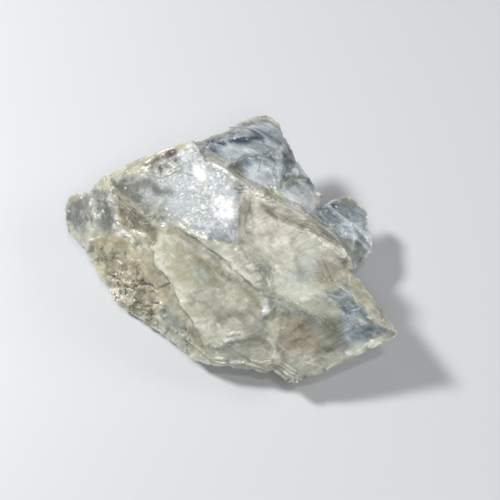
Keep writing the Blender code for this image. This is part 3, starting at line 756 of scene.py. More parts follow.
# Tones of the upper side, from the ones that lie lowest to the ones that lie over them.
AREAS = (
    # the bright face
    # the face's dark ground: painted shade where the face misses the light
    Area(Tone.SHADED_SATIN, (
        (-21.9, 18.3), (-15.0, 19.2), (-8.8, 22.8), (-5.6, 24.3), (-0.5, 18.9), (4.6, 15.4), (3.4, 9.1),
        (2.7, 4.6), (-2.5, 5.4), (-7.7, 8.0), (-13.6, 9.4), (-18.8, 13.6), (-22.2, 16.7),
    ), 0.95, 0.6),
    # white bloom over the gleaming part of the bright face, lightened as painted sheen
    Area(Tone.FROST_AND_SHEEN, (
        (-8.8, 22.8), (-5.6, 24.3), (-3.7, 20.8), (-0.5, 18.9), (3.2, 15.3), (3.4, 11.5), (3.2, 8.2),
        (2.5, 5.5), (0.6, 5.5), (-3.4, 6.2), (-8.1, 8.3), (-10.5, 11.6), (-9.4, 14.3), (-13.1, 17.3),
        (-8.3, 18.5),
    ), 0.7, 3.0),
    # painted highlights where the bright face gleams
    Area(Tone.WHITE, ((-5.3, 20.2), (-3.7, 20.4), (-3.0, 18.3), (-3.4, 16.5), (-5.0, 17.4)), 0.8, 1.7),
    Area(Tone.WHITE, (
        (-1.5, 13.4), (0.9, 13.6), (2.5, 12.0), (2.5, 10.0), (0.5, 9.2), (-1.5, 10.5),
    ), 0.6, 2.5),
    Area(Tone.WHITE, ((-3.7, 8.7), (-1.2, 9.1), (-0.6, 7.9), (-2.5, 7.0)), 0.6, 1.7),
    Area(Tone.WHITE, (
        (-8.4, 22.5), (-7.3, 23.9), (-5.9, 24.6), (-5.2, 23.6), (-3.9, 20.9), (-6.0, 20.9), (-7.9, 21.0),
    ), 0.45, 1.1),
    Area(Tone.TAN, (
        (-22.4, 18.8), (-6.1, 25.0), (-6.5, 23.6), (-8.9, 20.2), (-14.1, 18.4), (-20.5, 18.2),
    ), 0.6, 0.6),
    Area(Tone.DRAB, WINDOW, 1.0, 0.6),
    Area(Tone.SHADE, (
        (-14.1, 18.6), (-10.7, 19.5), (-8.4, 20.4), (-7.6, 18.9), (-10.7, 17.6), (-13.3, 17.5),
    ), 0.6, 1.4),
    Area(Tone.SHADE, ((-15.9, 16.4), (-14.2, 16.3), (-13.7, 14.4), (-15.4, 14.0)), 0.25, 1.4),
    Area(Tone.FROST_AND_SHEEN, (
        (-15.4, 14.9), (-10.6, 14.4), (-5.8, 11.7), (-3.9, 9.2), (-5.8, 9.1), (-10.5, 11.6), (-14.8, 13.3),
    ), 0.35, 1.2),
    Area(Tone.PALE, (
        (-10.4, 9.5), (-6.7, 8.3), (-2.5, 6.5), (-2.5, 5.8), (-5.7, 6.9), (-10.4, 8.8),
    ), 0.5, 0.7),
    Area(Tone.MILKY, (
        (-13.9, 12.3), (-10.5, 11.3), (-5.8, 8.8), (-6.9, 8.5), (-10.9, 10.0), (-13.8, 10.7),
    ), 0.4, 1.4),
    Area(Tone.OLIVE, ((-22.4, 18.3), (-19.0, 18.8), (-16.0, 19.2), (-17.5, 17.8), (-21.0, 17.0)), 0.4, 0.8),
    # the lobe on the left
    Area(Tone.SMOKY_AND_SHADE, (
        (-32.2, 12.2), (-31.0, 14.5), (-28.6, 15.0), (-26.5, 14.8), (-25.7, 16.1), (-21.7, 15.2),
        (-20.3, 13.2), (-21.2, 10.4), (-19.2, 8.3), (-21.7, 6.2), (-26.9, 5.8), (-31.2, 9.6),
    ), 0.9, 1.3),
    Area(Tone.DRAB, ((-30.8, 12.6), (-27.0, 12.4), (-25.8, 9.5), (-29.8, 8.6)), 0.35, 1.5),
    Area(Tone.TAN, ((-32.0, 12.6), (-30.9, 14.6), (-28.8, 14.9), (-27.8, 14.1), (-30.1, 13.4)), 0.6, 0.8),
    Area(Tone.SMOKY_AND_SHADE, (
        (-25.9, 14.9), (-21.4, 14.7), (-20.3, 12.0), (-20.7, 9.5), (-23.2, 8.5), (-24.6, 11.0),
    ), 0.9, 1.7),
    Area(Tone.PALE, ((-23.2, 14.9), (-21.2, 14.6), (-20.6, 12.5), (-22.1, 12.5)), 0.4, 1.1),
    Area(Tone.SMOKY_AND_SHADE, ((-32.2, 12.5), (-28.3, 12.8), (-26.5, 9.5), (-29.2, 7.8), (-32.5, 9.7)), 0.85, 1.4),
    Area(Tone.WHITE, ((-26.4, 13.4), (-25.3, 13.4), (-24.9, 11.0), (-25.9, 10.8)), 0.4, 0.7),
    Area(Tone.PALE, ((-27.1, 8.6), (-24.3, 8.6), (-23.2, 6.7), (-25.3, 5.3), (-27.2, 6.2)), 0.5, 1.0),
    Area(Tone.MILKY, ((-24.5, 7.1), (-21.4, 7.6), (-20.1, 5.5), (-24.5, 5.5)), 0.5, 1.3),
    # the brown stretch beside it
    Area(Tone.BROWN, (
        (-22.2, 16.7), (-18.8, 13.6), (-16.2, 11.5), (-13.6, 9.4), (-11.9, 7.7), (-12.1, 4.8), (-13.6, 4.4),
        (-15.4, 6.6), (-17.7, 8.5), (-19.2, 8.3), (-20.5, 10.4), (-20.3, 13.2),
    ), 0.8, 1.1),
    Area(Tone.DRAB, (
        (-20.6, 13.9), (-17.2, 11.9), (-15.2, 9.4), (-13.5, 8.4), (-13.8, 7.0), (-16.4, 8.2), (-18.7, 9.9),
        (-20.3, 11.7),
    ), 0.7, 1.0),
    Area(Tone.BROWN, ((-19.2, 8.5), (-17.7, 8.5), (-15.2, 5.7), (-15.4, 4.3), (-17.1, 5.7)), 0.7, 0.9),
    Area(Tone.TAN, (
        (-25.3, 16.4), (-24.9, 17.3), (-23.5, 18.5), (-22.5, 18.1), (-21.5, 15.8), (-23.4, 15.5),
    ), 0.7, 0.7),
    # the crumbled side and the long edge above it
    Area(Tone.CRUMB, (
        (-27.7, 5.6), (-20.1, 6.9), (-16.2, 4.5), (-15.0, 2.2), (-13.2, 0.3), (-11.7, -3.5), (-8.9, -6.1),
        (-10.9, -6.9), (-13.6, -9.1), (-18.1, -7.7), (-21.8, -5.0), (-23.1, -3.0), (-25.3, 1.7),
    ), 0.85, 1.6),
    Area(Tone.TAN, (
        (-26.4, 2.9), (-17.9, 4.1), (-15.5, 1.9), (-16.8, -1.9), (-22.6, -1.2), (-25.2, 0.6),
    ), 0.5, 1.4),
    Area(Tone.CREAM, ((-21.7, -3.8), (-18.1, -3.6), (-18.2, -6.0), (-20.1, -6.6), (-21.7, -5.2)), 0.8, 0.8),
    Area(Tone.BLUSH, ((-19.7, 0.7), (-17.8, 0.4), (-17.7, -1.1), (-19.3, -1.1)), 0.6, 1.1),
    Area(Tone.BROWN, ((-19.8, -6.6), (-15.8, -6.2), (-14.0, -8.4), (-17.1, -8.6), (-19.5, -7.8)), 0.7, 1.3),
    Area(Tone.GREY, ((-11.4, -7.7), (-6.7, -8.6), (-6.2, -12.0), (-8.7, -12.9), (-11.0, -10.6)), 0.7, 1.6),
    Area(Tone.CREAM, ((-8.9, -11.1), (-7.4, -11.0), (-7.7, -12.7), (-9.0, -12.9)), 0.8, 0.7),
    Area(Tone.OLIVE, (
        (-15.4, 4.7), (-13.0, 3.3), (-12.7, 1.1), (-10.2, -1.7), (-7.6, -6.9), (-5.0, -10.2), (-2.8, -14.7),
        (-4.0, -14.8), (-7.1, -10.6), (-9.6, -7.1), (-12.8, -2.1), (-15.5, 1.9),
    ), 0.8, 0.6),
    # the large front face and the strip above it
    Area(Tone.PALE, FRONT_FACE, 0.5, 0.7),
    Area(Tone.OLIVE, (
        (-9.5, 5.8), (-5.5, 4.3), (-1.3, 1.3), (2.7, -1.6), (6.2, -4.0), (7.6, -6.1), (6.5, -8.9),
        (4.9, -7.8), (5.2, -4.5), (2.2, -2.5), (-2.7, 0.6), (-7.0, 3.3),
    ), 0.65, 0.8),
    Area(Tone.CREAM, (
        (-12.4, 3.3), (-9.8, 2.1), (-6.7, -1.7), (-6.4, -4.2), (-8.4, -4.5), (-11.3, -0.3),
    ), 0.3, 1.2),
    Area(Tone.OLIVE, (
        (-11.5, 3.5), (-9.0, 5.5), (-5.5, 4.0), (-1.5, 0.5), (0.5, -3.0), (-5.5, -3.5), (-9.0, -2.0),
    ), 0.7, 2.1),
    Area(Tone.AQUA, ((-4.7, 0.2), (-2.2, 0.6), (-1.9, -1.6), (-3.9, -2.2), (-5.0, -1.1)), 0.5, 1.3),
    Area(Tone.MILKY, (
        (-6.7, -4.2), (1.4, -3.4), (5.2, -6.2), (4.9, -7.8), (-0.6, -7.9), (-4.8, -9.7), (-6.7, -7.0),
    ), 0.5, 1.9),
    Area(Tone.SHADE, ((-1.1, -8.2), (2.7, -7.3), (5.2, -7.8), (4.1, -8.9), (-0.0, -10.1)), 0.5, 1.5),
    Area(Tone.MILKY, (
        (-1.7, -14.6), (6.5, -12.7), (9.2, -12.9), (8.2, -16.2), (6.3, -17.4), (-1.2, -17.8),
    ), 0.5, 1.0),
    Area(Tone.PALE, ((-2.0, -15.0), (8.5, -14.0), (9.0, -18.5), (6.0, -19.0), (-1.5, -18.5)), 0.7, 1.2),
    # painted glint
    Area(Tone.PAINTED_GLINT, ((0.3, -12.8), (4.1, -11.5), (4.2, -12.1), (0.8, -13.3)), 0.9, 0.4),
    Area(Tone.TAN, ((9.5, -7.8), (10.8, -8.1), (10.6, -9.4), (9.5, -9.1)), 0.8, 0.5),
    Area(Tone.SHADE, ((6.5, -8.9), (8.4, -8.6), (8.2, -12.2), (6.2, -12.2), (5.4, -10.3)), 0.5, 1.0),
    Area(Tone.OLIVE, (
        (-10.0, 8.6), (-5.7, 7.0), (-3.1, 5.1), (-4.6, 4.2), (-7.7, 5.7), (-10.0, 6.9),
    ), 0.8, 1.1),
    Area(Tone.CREAM, (
        (-0.1, 4.6), (2.7, 4.5), (3.7, 2.8), (5.8, 0.9), (6.5, 0.0), (7.6, -4.8), (5.2, -2.8), (3.3, -1.5),
        (-0.1, 1.6),
    ), 0.35, 0.7),
    Area(Tone.CREAM, (
        (0.2, 0.6), (3.2, 1.1), (5.5, -0.6), (7.7, -2.8), (9.7, -5.3), (12.4, -7.2), (11.4, -7.4),
        (8.7, -5.6), (6.2, -2.8), (3.2, -0.6),
    ), 0.55, 0.5),
    # painted glint on the crest strip
    Area(Tone.WHITE, ((2.8, 1.1), (4.3, 0.4), (4.6, -1.4), (3.2, -0.9)), 0.5, 1.1),
    # painted glint
    Area(Tone.PAINTED_GLINT, ((7.5, -6.1), (8.8, -6.4), (8.9, -8.0), (7.7, -8.3)), 0.7, 0.5),
    # the hollow, its wall and its lip
    Area(Tone.PALE, HOLLOW, 1.0, 0.7),
    # painted light: the middle of the hollow lightened where it is lit
    Area(Tone.CREAM, (
        (6.0, 10.4), (8.7, 10.4), (11.4, 9.9), (13.7, 7.5), (12.5, 4.4), (9.8, 3.1), (6.5, 4.5), (4.9, 6.0),
        (5.2, 8.8),
    ), 1.0, 2.4),
    Area(Tone.PALE, (
        (6.7, 4.1), (11.8, 4.6), (14.4, 2.9), (13.0, 0.6), (10.0, -0.3), (7.2, 0.9),
    ), 0.5, 1.2),
    Area(Tone.SHADE, ((4.0, 2.9), (6.2, 1.9), (9.2, 0.6), (10.5, -0.6), (7.9, -1.1), (6.5, 0.0)), 0.5, 1.4),
    Area(Tone.AQUA, (
        (14.9, 1.1), (18.0, 3.4), (18.2, 0.6), (17.3, -2.4), (14.7, -3.4), (11.7, -2.6), (12.8, -0.7),
    ), 0.5, 3.6),
    Area(Tone.BLUSH, HOLLOW_STAIN, 0.35, 2.6),
    Area(Tone.DRAB, HOLLOW_STAIN, 0.6, 3.0),
    Area(Tone.OLIVE, ((17.9, -1.4), (22.0, -1.5), (23.1, -3.4), (19.3, -3.9), (17.8, -3.4)), 0.5, 1.4),
    Area(Tone.CREAM, ((6.3, 12.8), (7.6, 13.1), (9.0, 11.5), (8.2, 10.4), (6.5, 11.0)), 0.9, 0.6),
    Area(Tone.CREAM, (
        (4.1, 14.1), (5.4, 14.5), (6.5, 13.1), (5.7, 11.5), (5.2, 8.8), (4.1, 6.0), (3.3, 4.4), (2.7, 3.7),
        (3.2, 7.1), (3.6, 11.4),
    ), 0.7, 0.6),
    Area(Tone.TAN, (
        (-3.4, 20.6), (0.9, 18.6), (4.6, 15.4), (9.1, 13.1), (13.1, 11.1), (16.2, 9.4), (20.7, 5.9),
        (23.2, 3.8), (25.1, 1.4), (23.9, 3.6), (21.7, 6.8), (16.7, 10.6), (11.9, 13.2), (7.6, 15.0),
        (3.5, 17.1),
    ), 0.8, 0.6),
    Area(Tone.OLIVE, (
        (7.1, 13.9), (9.8, 12.9), (13.1, 10.9), (15.8, 9.6), (17.7, 8.0), (15.8, 8.0), (13.1, 9.4),
        (9.8, 11.0), (7.6, 12.2),
    ), 0.35, 0.4),
    Area(Tone.CREAM, (
        (4.1, 16.5), (7.1, 14.5), (9.8, 13.2), (13.1, 11.6), (16.0, 10.3), (15.8, 8.9), (13.1, 9.9),
        (9.8, 11.4), (7.1, 12.8), (4.9, 14.4),
    ), 0.75, 0.4),
    Area(Tone.CREAM, (
        (15.8, 8.0), (18.0, 7.2), (20.8, 5.0), (24.1, 3.1), (25.4, 1.6), (23.0, 2.2), (19.7, 4.4),
        (16.4, 6.6),
    ), 0.8, 0.4),
    # the front slab
    Area(Tone.SAGE, (
        (7.6, -4.8), (12.6, -7.0), (19.7, -3.5), (25.0, 0.3), (32.6, -11.4), (13.1, -21.0), (9.4, -18.0),
        (10.3, -7.8),
    ), 0.9, 0.7),
    Area(Tone.SHADE, (
        (7.2, -3.8), (11.7, -4.8), (15.6, -6.6), (19.4, -9.0), (17.6, -10.2), (14.1, -8.2), (11.2, -6.7),
        (8.2, -5.3),
    ), 0.6, 1.2),
    Area(Tone.BLUSH, (
        (10.2, -10.3), (11.7, -7.8), (14.6, -8.2), (16.6, -9.7), (17.7, -12.3), (17.7, -14.9),
        (14.2, -15.9), (10.5, -15.5), (10.0, -12.8),
    ), 0.6, 2.3),
    Area(Tone.CREAM, ((11.5, -14.8), (16.6, -14.2), (17.0, -16.2), (12.5, -17.2)), 0.6, 1.6),
    Area(Tone.BROWN, ((12.9, -9.3), (16.6, -9.3), (16.9, -11.0), (14.2, -11.5)), 0.3, 1.8),
    Area(Tone.SHADE, (
        (18.6, -9.0), (22.2, -7.8), (22.4, -11.9), (21.7, -14.9), (19.2, -15.1), (18.7, -12.8),
    ), 0.4, 1.7),
    Area(Tone.DRAB, ((19.2, -14.1), (21.9, -12.3), (22.2, -13.8), (20.7, -15.4), (19.2, -15.1)), 0.5, 1.0),
    Area(Tone.CLEAR, SLAB_WINDOW, 0.7, 1.4),
    Area(Tone.AQUA, SLAB_WINDOW, 0.75, 1.4),
    Area(Tone.DEEP, (
        (19.4, -4.5), (22.0, -4.0), (24.5, -5.6), (25.8, -8.2), (23.2, -8.6), (21.2, -6.6),
    ), 0.4, 1.6),
    Area(Tone.CLEAR, SLAB_TIP, 0.6, 1.3),
    Area(Tone.AQUA, SLAB_TIP, 0.85, 1.4),
    Area(Tone.DEEP, ((24.5, -9.0), (27.5, -9.5), (30.0, -11.0), (26.5, -13.2), (24.0, -12.2)), 0.2, 2.0),
    Area(Tone.TAN, (
        (23.4, 0.6), (24.7, -0.2), (26.9, -2.7), (28.9, -6.2), (31.2, -9.2), (32.7, -11.3), (31.1, -11.3),
        (29.1, -10.3), (26.7, -7.1), (25.1, -4.4), (23.8, -2.4), (22.5, -0.9),
    ), 0.5, 0.4),
    Area(Tone.PALE, (
        (11.8, -17.8), (17.7, -15.9), (23.2, -13.6), (31.6, -11.1), (32.6, -11.7), (23.3, -16.4),
        (14.3, -20.4), (12.8, -20.6),
    ), 0.5, 0.7),
    Area(Tone.CREAM, ((9.8, -14.6), (11.2, -15.1), (11.0, -17.3), (9.8, -17.9)), 0.8, 0.5),
    # painted glint
    Area(Tone.PAINTED_GLINT, ((22.9, -14.9), (24.1, -14.6), (24.2, -15.5), (23.1, -15.7)), 1.0, 0.4),
    # the back slab
    Area(Tone.CLEAR, (
        (-5.9, 25.1), (0.5, 27.0), (4.0, 29.1), (6.9, 29.9), (8.7, 30.0), (11.0, 28.2), (14.7, 21.4),
        (17.0, 18.1), (19.6, 14.5), (19.0, 12.4), (15.1, 13.8), (9.2, 15.9), (5.0, 17.8), (0.8, 20.9),
        (-3.4, 22.4),
    ), 1.0, 0.5),
    Area(Tone.TAN, (
        (-5.7, 24.5), (0.6, 27.1), (4.0, 29.1), (7.8, 30.8), (9.4, 30.1), (7.8, 28.8), (4.2, 27.3),
        (0.7, 25.7), (-3.5, 23.7),
    ), 0.45, 0.7),
    Area(Tone.DEEP, BACK_BLOT, 0.9, 0.7),
    Area(Tone.DEEP, (
        (-0.8, 25.3), (3.7, 26.5), (7.8, 27.7), (10.1, 27.2), (9.5, 25.9), (6.6, 24.9), (4.0, 24.4),
        (0.3, 24.2),
    ), 0.85, 1.1),
    Area(Tone.DEEP, BACK_BLOT, 0.8, 0.5),
    Area(Tone.MIST, (
        (-1.0, 22.9), (1.2, 24.2), (5.2, 24.2), (8.9, 24.9), (11.8, 24.2), (10.0, 22.2), (5.2, 21.7),
        (3.2, 20.8), (1.2, 20.2), (-0.1, 20.6),
    ), 0.5, 1.9),
    Area(Tone.SHADE, (
        (0.5, 18.7), (1.8, 19.9), (4.3, 21.2), (4.3, 19.3), (4.1, 16.8), (2.5, 17.2),
    ), 0.7, 0.7),
    Area(Tone.MIST, (
        (4.3, 19.3), (6.0, 20.4), (7.7, 20.9), (10.0, 19.5), (10.5, 16.9), (8.8, 15.4), (6.0, 15.4),
        (4.1, 16.8),
    ), 0.85, 1.3),
    Area(Tone.DEEP, ((8.0, 21.3), (9.7, 21.4), (9.7, 19.8), (8.3, 19.7)), 0.4, 0.9),
    Area(Tone.MIST, (
        (10.6, 24.1), (12.4, 24.0), (12.0, 20.5), (11.4, 15.8), (10.2, 15.4), (10.3, 19.9),
    ), 0.7, 0.6),
    Area(Tone.DEEP, ((11.8, 23.0), (13.5, 23.8), (14.8, 21.0), (12.9, 19.4), (11.6, 20.5)), 0.7, 0.7),
    Area(Tone.SHADE, ((11.4, 15.5), (12.6, 18.2), (14.7, 18.0), (17.4, 17.6), (14.6, 16.4)), 0.8, 0.5),
    Area(Tone.MIST, ((14.1, 20.7), (15.5, 20.7), (17.6, 18.3), (14.7, 18.3), (12.9, 19.1)), 0.5, 0.6),
    Area(Tone.MIST, (
        (11.7, 14.7), (14.6, 16.4), (17.9, 16.4), (19.0, 14.7), (19.4, 12.1), (17.4, 10.8), (14.2, 11.1),
        (11.6, 13.1),
    ), 0.9, 0.8),
    Area(Tone.CREAM, ((17.6, 15.2), (19.3, 14.9), (19.1, 12.9), (17.3, 12.6)), 0.7, 0.5),
    Area(Tone.WHITE, ((13.2, 13.4), (15.0, 15.6), (17.2, 15.0), (17.0, 12.6), (14.8, 12.0)), 0.35, 1.2),
    # the thin plate
    Area(Tone.CLEAR, (
        (19.1, 12.3), (22.1, 13.6), (24.6, 14.6), (26.3, 13.3), (28.5, 11.1), (28.5, 8.0), (29.4, 5.6),
        (29.1, 3.7), (27.6, 1.7), (25.4, 0.2), (23.5, 4.2), (20.2, 8.4), (17.4, 11.0),
    ), 1.0, 0.7),
    Area(Tone.MIST, (
        (19.1, 12.3), (24.6, 14.6), (28.5, 11.1), (29.1, 3.7), (25.4, 0.2), (23.5, 4.2), (17.4, 11.0),
    ), 0.3, 1.0),
    Area(Tone.DEEP, ((18.7, 11.7), (21.2, 12.6), (23.2, 12.4), (21.1, 11.0)), 0.7, 0.9),
    Area(Tone.TAN, ((22.5, 13.9), (24.8, 14.6), (26.9, 13.2), (25.6, 12.0), (23.6, 12.8)), 0.4, 0.8),
    Area(Tone.SHADE, (
        (19.4, 9.1), (22.5, 7.2), (25.2, 4.4), (24.6, 3.3), (21.7, 5.6), (19.1, 7.8),
    ), 0.8, 1.0),
    # painted shade along the thin plate's lower edge, under the lip
    Area(Tone.SMOKY_AND_SHADE, (
        (18.2, 9.3), (21.2, 7.7), (23.8, 6.0), (26.3, 5.4), (28.4, 4.0), (28.2, 2.2), (26.6, 0.8),
        (25.2, 1.0), (25.0, 3.1), (21.9, 4.7), (19.1, 6.6), (17.7, 8.0),
    ), 0.9, 0.5),
)

# Tones of the sides, the back and the underside.
SIDE_PATCHES = (
    (Tone.CLEAR, Patch(3.0, 22.0, 12.0, 12.0, 0.8)),
    (Tone.CLEAR, Patch(25.0, 3.0, 6.0, 9.0, 0.9)),
    (Tone.CLEAR, Patch(25.0, -16.0, 8.0, 10.0, 0.7)),
    (Tone.CLEAR, Patch(-29.0, 8.0, 4.0, 8.0, 0.7)),
    (Tone.TAN, Patch(-12.0, 15.0, 12.0, 9.0, 0.6)),
    (Tone.CRUMB, Patch(-18.0, -2.0, 4.0, 12.0, 0.6)),
    (Tone.CREAM, Patch(10.0, 10.0, 6.0, 9.0, 0.5)),
    (Tone.BLUSH, Patch(13.0, -22.0, 4.0, 9.0, 0.5)),
    (Tone.GREY, Patch(-2.0, 14.0, 6.0, 8.0, 0.5)),
)


class Paint:
    """The colour, cloudiness and dullness of each point of the skin while it is painted."""

    def __init__(self, count: int, ground: Tone) -> None:
        """Starts with one tone on every point.

        Args:
            count: how many points there are.
            ground: the tone.
        """
        self.colour = np.tile(linear(ground.value.colour)[:3], (count, 1))
        self.cloud = np.full(count, ground.value.cloud)
        self.dull = np.full(count, ground.value.dull)

    def add(self, tone: Tone, share: np.ndarray) -> None:
        """Mixes a tone in.

        Args:
            tone: the tone.
            share: how much of it each point gets, from 0 to 1.
        """
        self.colour += share[:, None] * (np.array(linear(tone.value.colour)[:3]) - self.colour)
        self.cloud += share * (tone.value.cloud - self.cloud)
        self.dull += share * (tone.value.dull - self.dull)


@dataclass
class BrokenSkin:
    """The whole outside of the crystal, finely divided and broken as cleaved petalite is. Sizes are
    millimetres."""

    name: str = "petalite_body"
    crease_deg: float = 24.0
    levels: int = 3
    sharp_deg: float = 34.0
    most_triangles: int = 184_000
    table_clearance: float = 1.2
    # How far from a sharp edge that stands out its wear reaches; the finish lightens it there, partly as a
    # painted highlight.
    edge_reach: float = 0.8
    # How far painted shade reaches from the bottom of a valley, and how dark it gets there.
    valley_reach: float = 1.3
    valley_shade: float = 0.5
    strokes: Sequence[Stroke] = STROKES
    sheets: Sequence[Sheets] = SHEETS
    ripples: Sequence[Ripples] = RIPPLES
    feathers: Sequence[Feathers] = FEATHERS
    layers: Sequence[Layers] = LAYERS
    lumps: Sequence[Patch] = LUMPS
    crumbled: Sequence[Patch] = CRUMBLED
    rough: Sequence[Patch] = ROUGH
    shell_smooth: Sequence[Patch] = SHELL_SMOOTH
    flat: Sequence[Patch] = FLAT
    facets: Sequence[Facet] = FACETS
    curved: Sequence[Sequence[tuple[float, float]]] = (HOLLOW, FRONT_FACE, SLAB_TOP)
    curving_rounds: int = 80
    areas: Sequence[Area] = AREAS
    sides: Sequence[tuple[Tone, Patch]] = SIDE_PATCHES

    # The evenly curved faces: how far inside them the curve starts and over how much it comes in, how fast
    # it forms, and from which share on a sharp edge in them is lost.
    curve_start: float = 0.8
    curve_band: float = 1.6
    curving_pace: float = 0.5
    edge_lost: float = 0.3

    # What the break leaves on plain, shell-smooth, crumbled and rough stretches, and along sharp edges.
    wide_faces: Unevenness = Unevenness(6.0, 0.75, 23.0)
    small_faces: Unevenness = Unevenness(2.4, 0.13, 5.0)
    fine_faces: Unevenness = Unevenness(0.9, 1.0, 9.0)
    fine_heights: tuple[float, float] = (0.02, 0.015)
    shell_swells: Unevenness = Unevenness(5.5, 0.20, 29.0)
    crumbs: tuple[Unevenness, ...] = (Unevenness(3.0, 0.50, 2.0), Unevenness(1.1, 0.13, 4.0))
    chips: tuple[Unevenness, ...] = (Unevenness(2.8, 0.24, 8.0), Unevenness(1.1, 0.07, 6.0))
    bites: Unevenness = Unevenness(1.7, 1.0, 11.0)
    bite_heights: tuple[float, float] = (0.08, 0.62)
    bite_reach: float = 0.9
    least_bite: float = 0.02
    calm_reach: float = 1.5
    least_calm: float = 0.25
    flat_calm: float = 0.9
    flat_chips: float = 0.8

    # What bends the sheets, rings and layers, lets them come and go, and makes drawn lines and the borders
    # and strengths of the tones uneven.
    bends: Unevenness = Unevenness(3.4, 1.0, 7.7)
    comings: Unevenness = Unevenness(4.5, 1.0, 17.3)
    layer_bends: Unevenness = Unevenness(4.5, 1.0, 3.1)
    wobbles: tuple[Unevenness, ...] = (Unevenness(1.7, 0.42, 41.0), Unevenness(0.55, 0.14, 43.0))
    ragged: tuple[Unevenness, ...] = (Unevenness(1.3, 0.45, 51.0), Unevenness(0.45, 0.3, 53.0))
    ragged_fade: float = 1.1
    patches: Unevenness = Unevenness(1.9, 0.65, 57.0)
    patch_middle: float = 0.95
    even_patches: float = 0.6
    even_edges: float = 0.8

    # How much longer along the cleavage than across it the faces and the tones are.
    face_stretch: float = 0.68
    tone_stretch: float = 0.6

    # Picks the pattern of the small moves, which would otherwise follow the clock.
    moves_seed: int = 1

    def curved_share(self, places: np.ndarray, normals: np.ndarray) -> np.ndarray:
        """Tells how far inside the evenly curved faces places lie.

        Args:
            places: rows of x, y and z in millimetres.
            normals: the way that the stone faces there.

        Returns:
            For each place 0 outside those faces and at their borders, else up to 1.
        """
        depth = np.max([depth_inside(laid_flat(places), outline) for outline in self.curved], axis=0)
        return facing_up(normals, 0.2, 0.3) * eased((depth - self.curve_start) / self.curve_band)

    def merged(self) -> tuple[bmesh.types.BMesh, list[bmesh.types.BMEdge]]:
        """Copies the solid's mesh with its loose triangles merged and its sharp edges creased.

        Returns:
            The mesh and its sharp edges, without those inside the evenly curved faces.
        """
        mesh = bmesh.new()
        mesh.from_mesh(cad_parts[NODE].data)
        bmesh.ops.remove_doubles(mesh, verts=mesh.verts, dist=SAME_PLACE * MM)
        mesh.normal_update()
        crease = mesh.edges.layers.float.new("crease_edge")
        least = math.radians(self.crease_deg)
        sharp = [edge for edge in mesh.edges if edge.calc_face_angle(0.0) > least]
        middles = np.array([(edge.verts[0].co + edge.verts[1].co) / 2 / MM for edge in sharp])
        normals = np.array([edge.verts[0].normal for edge in sharp])
        share = self.curved_share(middles, normals)
        sharp = [edge for edge, curved in zip(sharp, share) if curved < self.edge_lost]
        for edge in sharp:
            edge[crease] = 1.0
        return mesh, sharp

    def whole_mesh(self) -> bpy.types.Mesh:
        """Copies the solid's mesh, merged and creased.

        Returns:
            The copy.
        """
        mesh, _ = self.merged()
        data = bpy.data.meshes.new(self.name)
        mesh.to_mesh(data)
        mesh.free()
        return data

    def curve_faces(self, data: bpy.types.Mesh) -> None:
        """Evens out the curved faces of the finely divided mesh by moving points to between their neighbours.

        Args:
            data: the mesh, which is changed.
        """
        places, normals = self.points(data)
        share = self.curving_pace * self.curved_share(places, normals)[:, None]
        ends = np.empty(len(data.edges) * 2, np.int32)
        data.edges.foreach_get("vertices", ends)
        start, end = ends.reshape(-1, 2).T
        count = np.bincount(ends, minlength=len(places))[:, None]
        for _ in range(self.curving_rounds):
            total = np.empty_like(places)
            for axis in range(3):
                total[:, axis] = np.bincount(start, places[end, axis], len(places))
                total[:, axis] += np.bincount(end, places[start, axis], len(places))
            places += share * (total / count - places)
        data.vertices.foreach_set("co", (places * MM).ravel())
        data.update()

    def crease_tree(self, convex: bool) -> KDTree:
        """Collects points along the solid's sharp edges.

        Args:
            convex: whether the edges that stand out are wanted, or those that lie in a valley.

        Returns:
            The points, in millimetres.
        """
        mesh, sharp = self.merged()
        sharp = [edge for edge in sharp if edge.is_convex == convex]
        shares = (0.0, 0.25, 0.5, 0.75)
        tree = KDTree(len(sharp) * len(shares))
        for edge in sharp:
            for share in shares:
                tree.insert(edge.verts[0].co.lerp(edge.verts[1].co, share) / MM, 0)
        tree.balance()
        mesh.free()
        return tree

    def relief(self, places: np.ndarray, from_crease: np.ndarray) -> np.ndarray:
        """Adds up the heights of everything that stands out along the normal of the face it is on.

        Args:
            places: rows of x, y and z in millimetres.
            from_crease: how far each place is from a sharp edge.

        Returns:
            One height for each place, in millimetres.
        """
        crumbled = cover(places, self.crumbled)
        flat = cover(places, self.flat)
        rough = cover(places, self.rough) * (1.0 - self.flat_chips * flat)
        shell = cover(places, self.shell_smooth)
        broken = (1.0 - shell) * (1.0 - self.flat_calm * flat)
        calm = np.clip(from_crease / self.calm_reach, self.least_calm, 1.0)
        streaked = stretched(places, self.face_stretch)
        wander = self.bends.swells(places)
        strength = self.comings.swells(places)
        heights = self.wide_faces.faces(streaked, calm * broken)
        heights += self.small_faces.faces(streaked, broken)
        least, more = self.fine_heights
        heights += self.fine_faces.faces(streaked, least + more * broken)
        heights += shell * calm * self.shell_swells.swells(streaked)
        for sizes, share in ((self.crumbs, crumbled), (self.chips, rough)):
            for uneven in sizes:
                heights += uneven.faces(places, share)
        least, more = self.bite_heights
        near = np.clip(1.0 - from_crease / self.bite_reach, 0.0, 1.0)
        bites = self.bites.faces(places, near * (least + more * broken))
        heights -= np.maximum(bites - self.least_bite, 0.0)
        for band in (*self.sheets, *self.ripples):
            heights += band.heights(places, wander, strength)
        for feathers in self.feathers:
            heights += feathers.heights(places)
        wobbled = places + self.wobble(places)
        for stroke in self.strokes:
            heights += stroke.heights(wobbled)
        for lump in self.lumps:
            heights += lump.cone(wobbled)
        return heights

    def wobble(self, places: np.ndarray) -> np.ndarray:
        """Gives small moves that make drawn lines and borders as uneven as a break is."""
        return sum(uneven.moves(places) for uneven in self.wobbles)

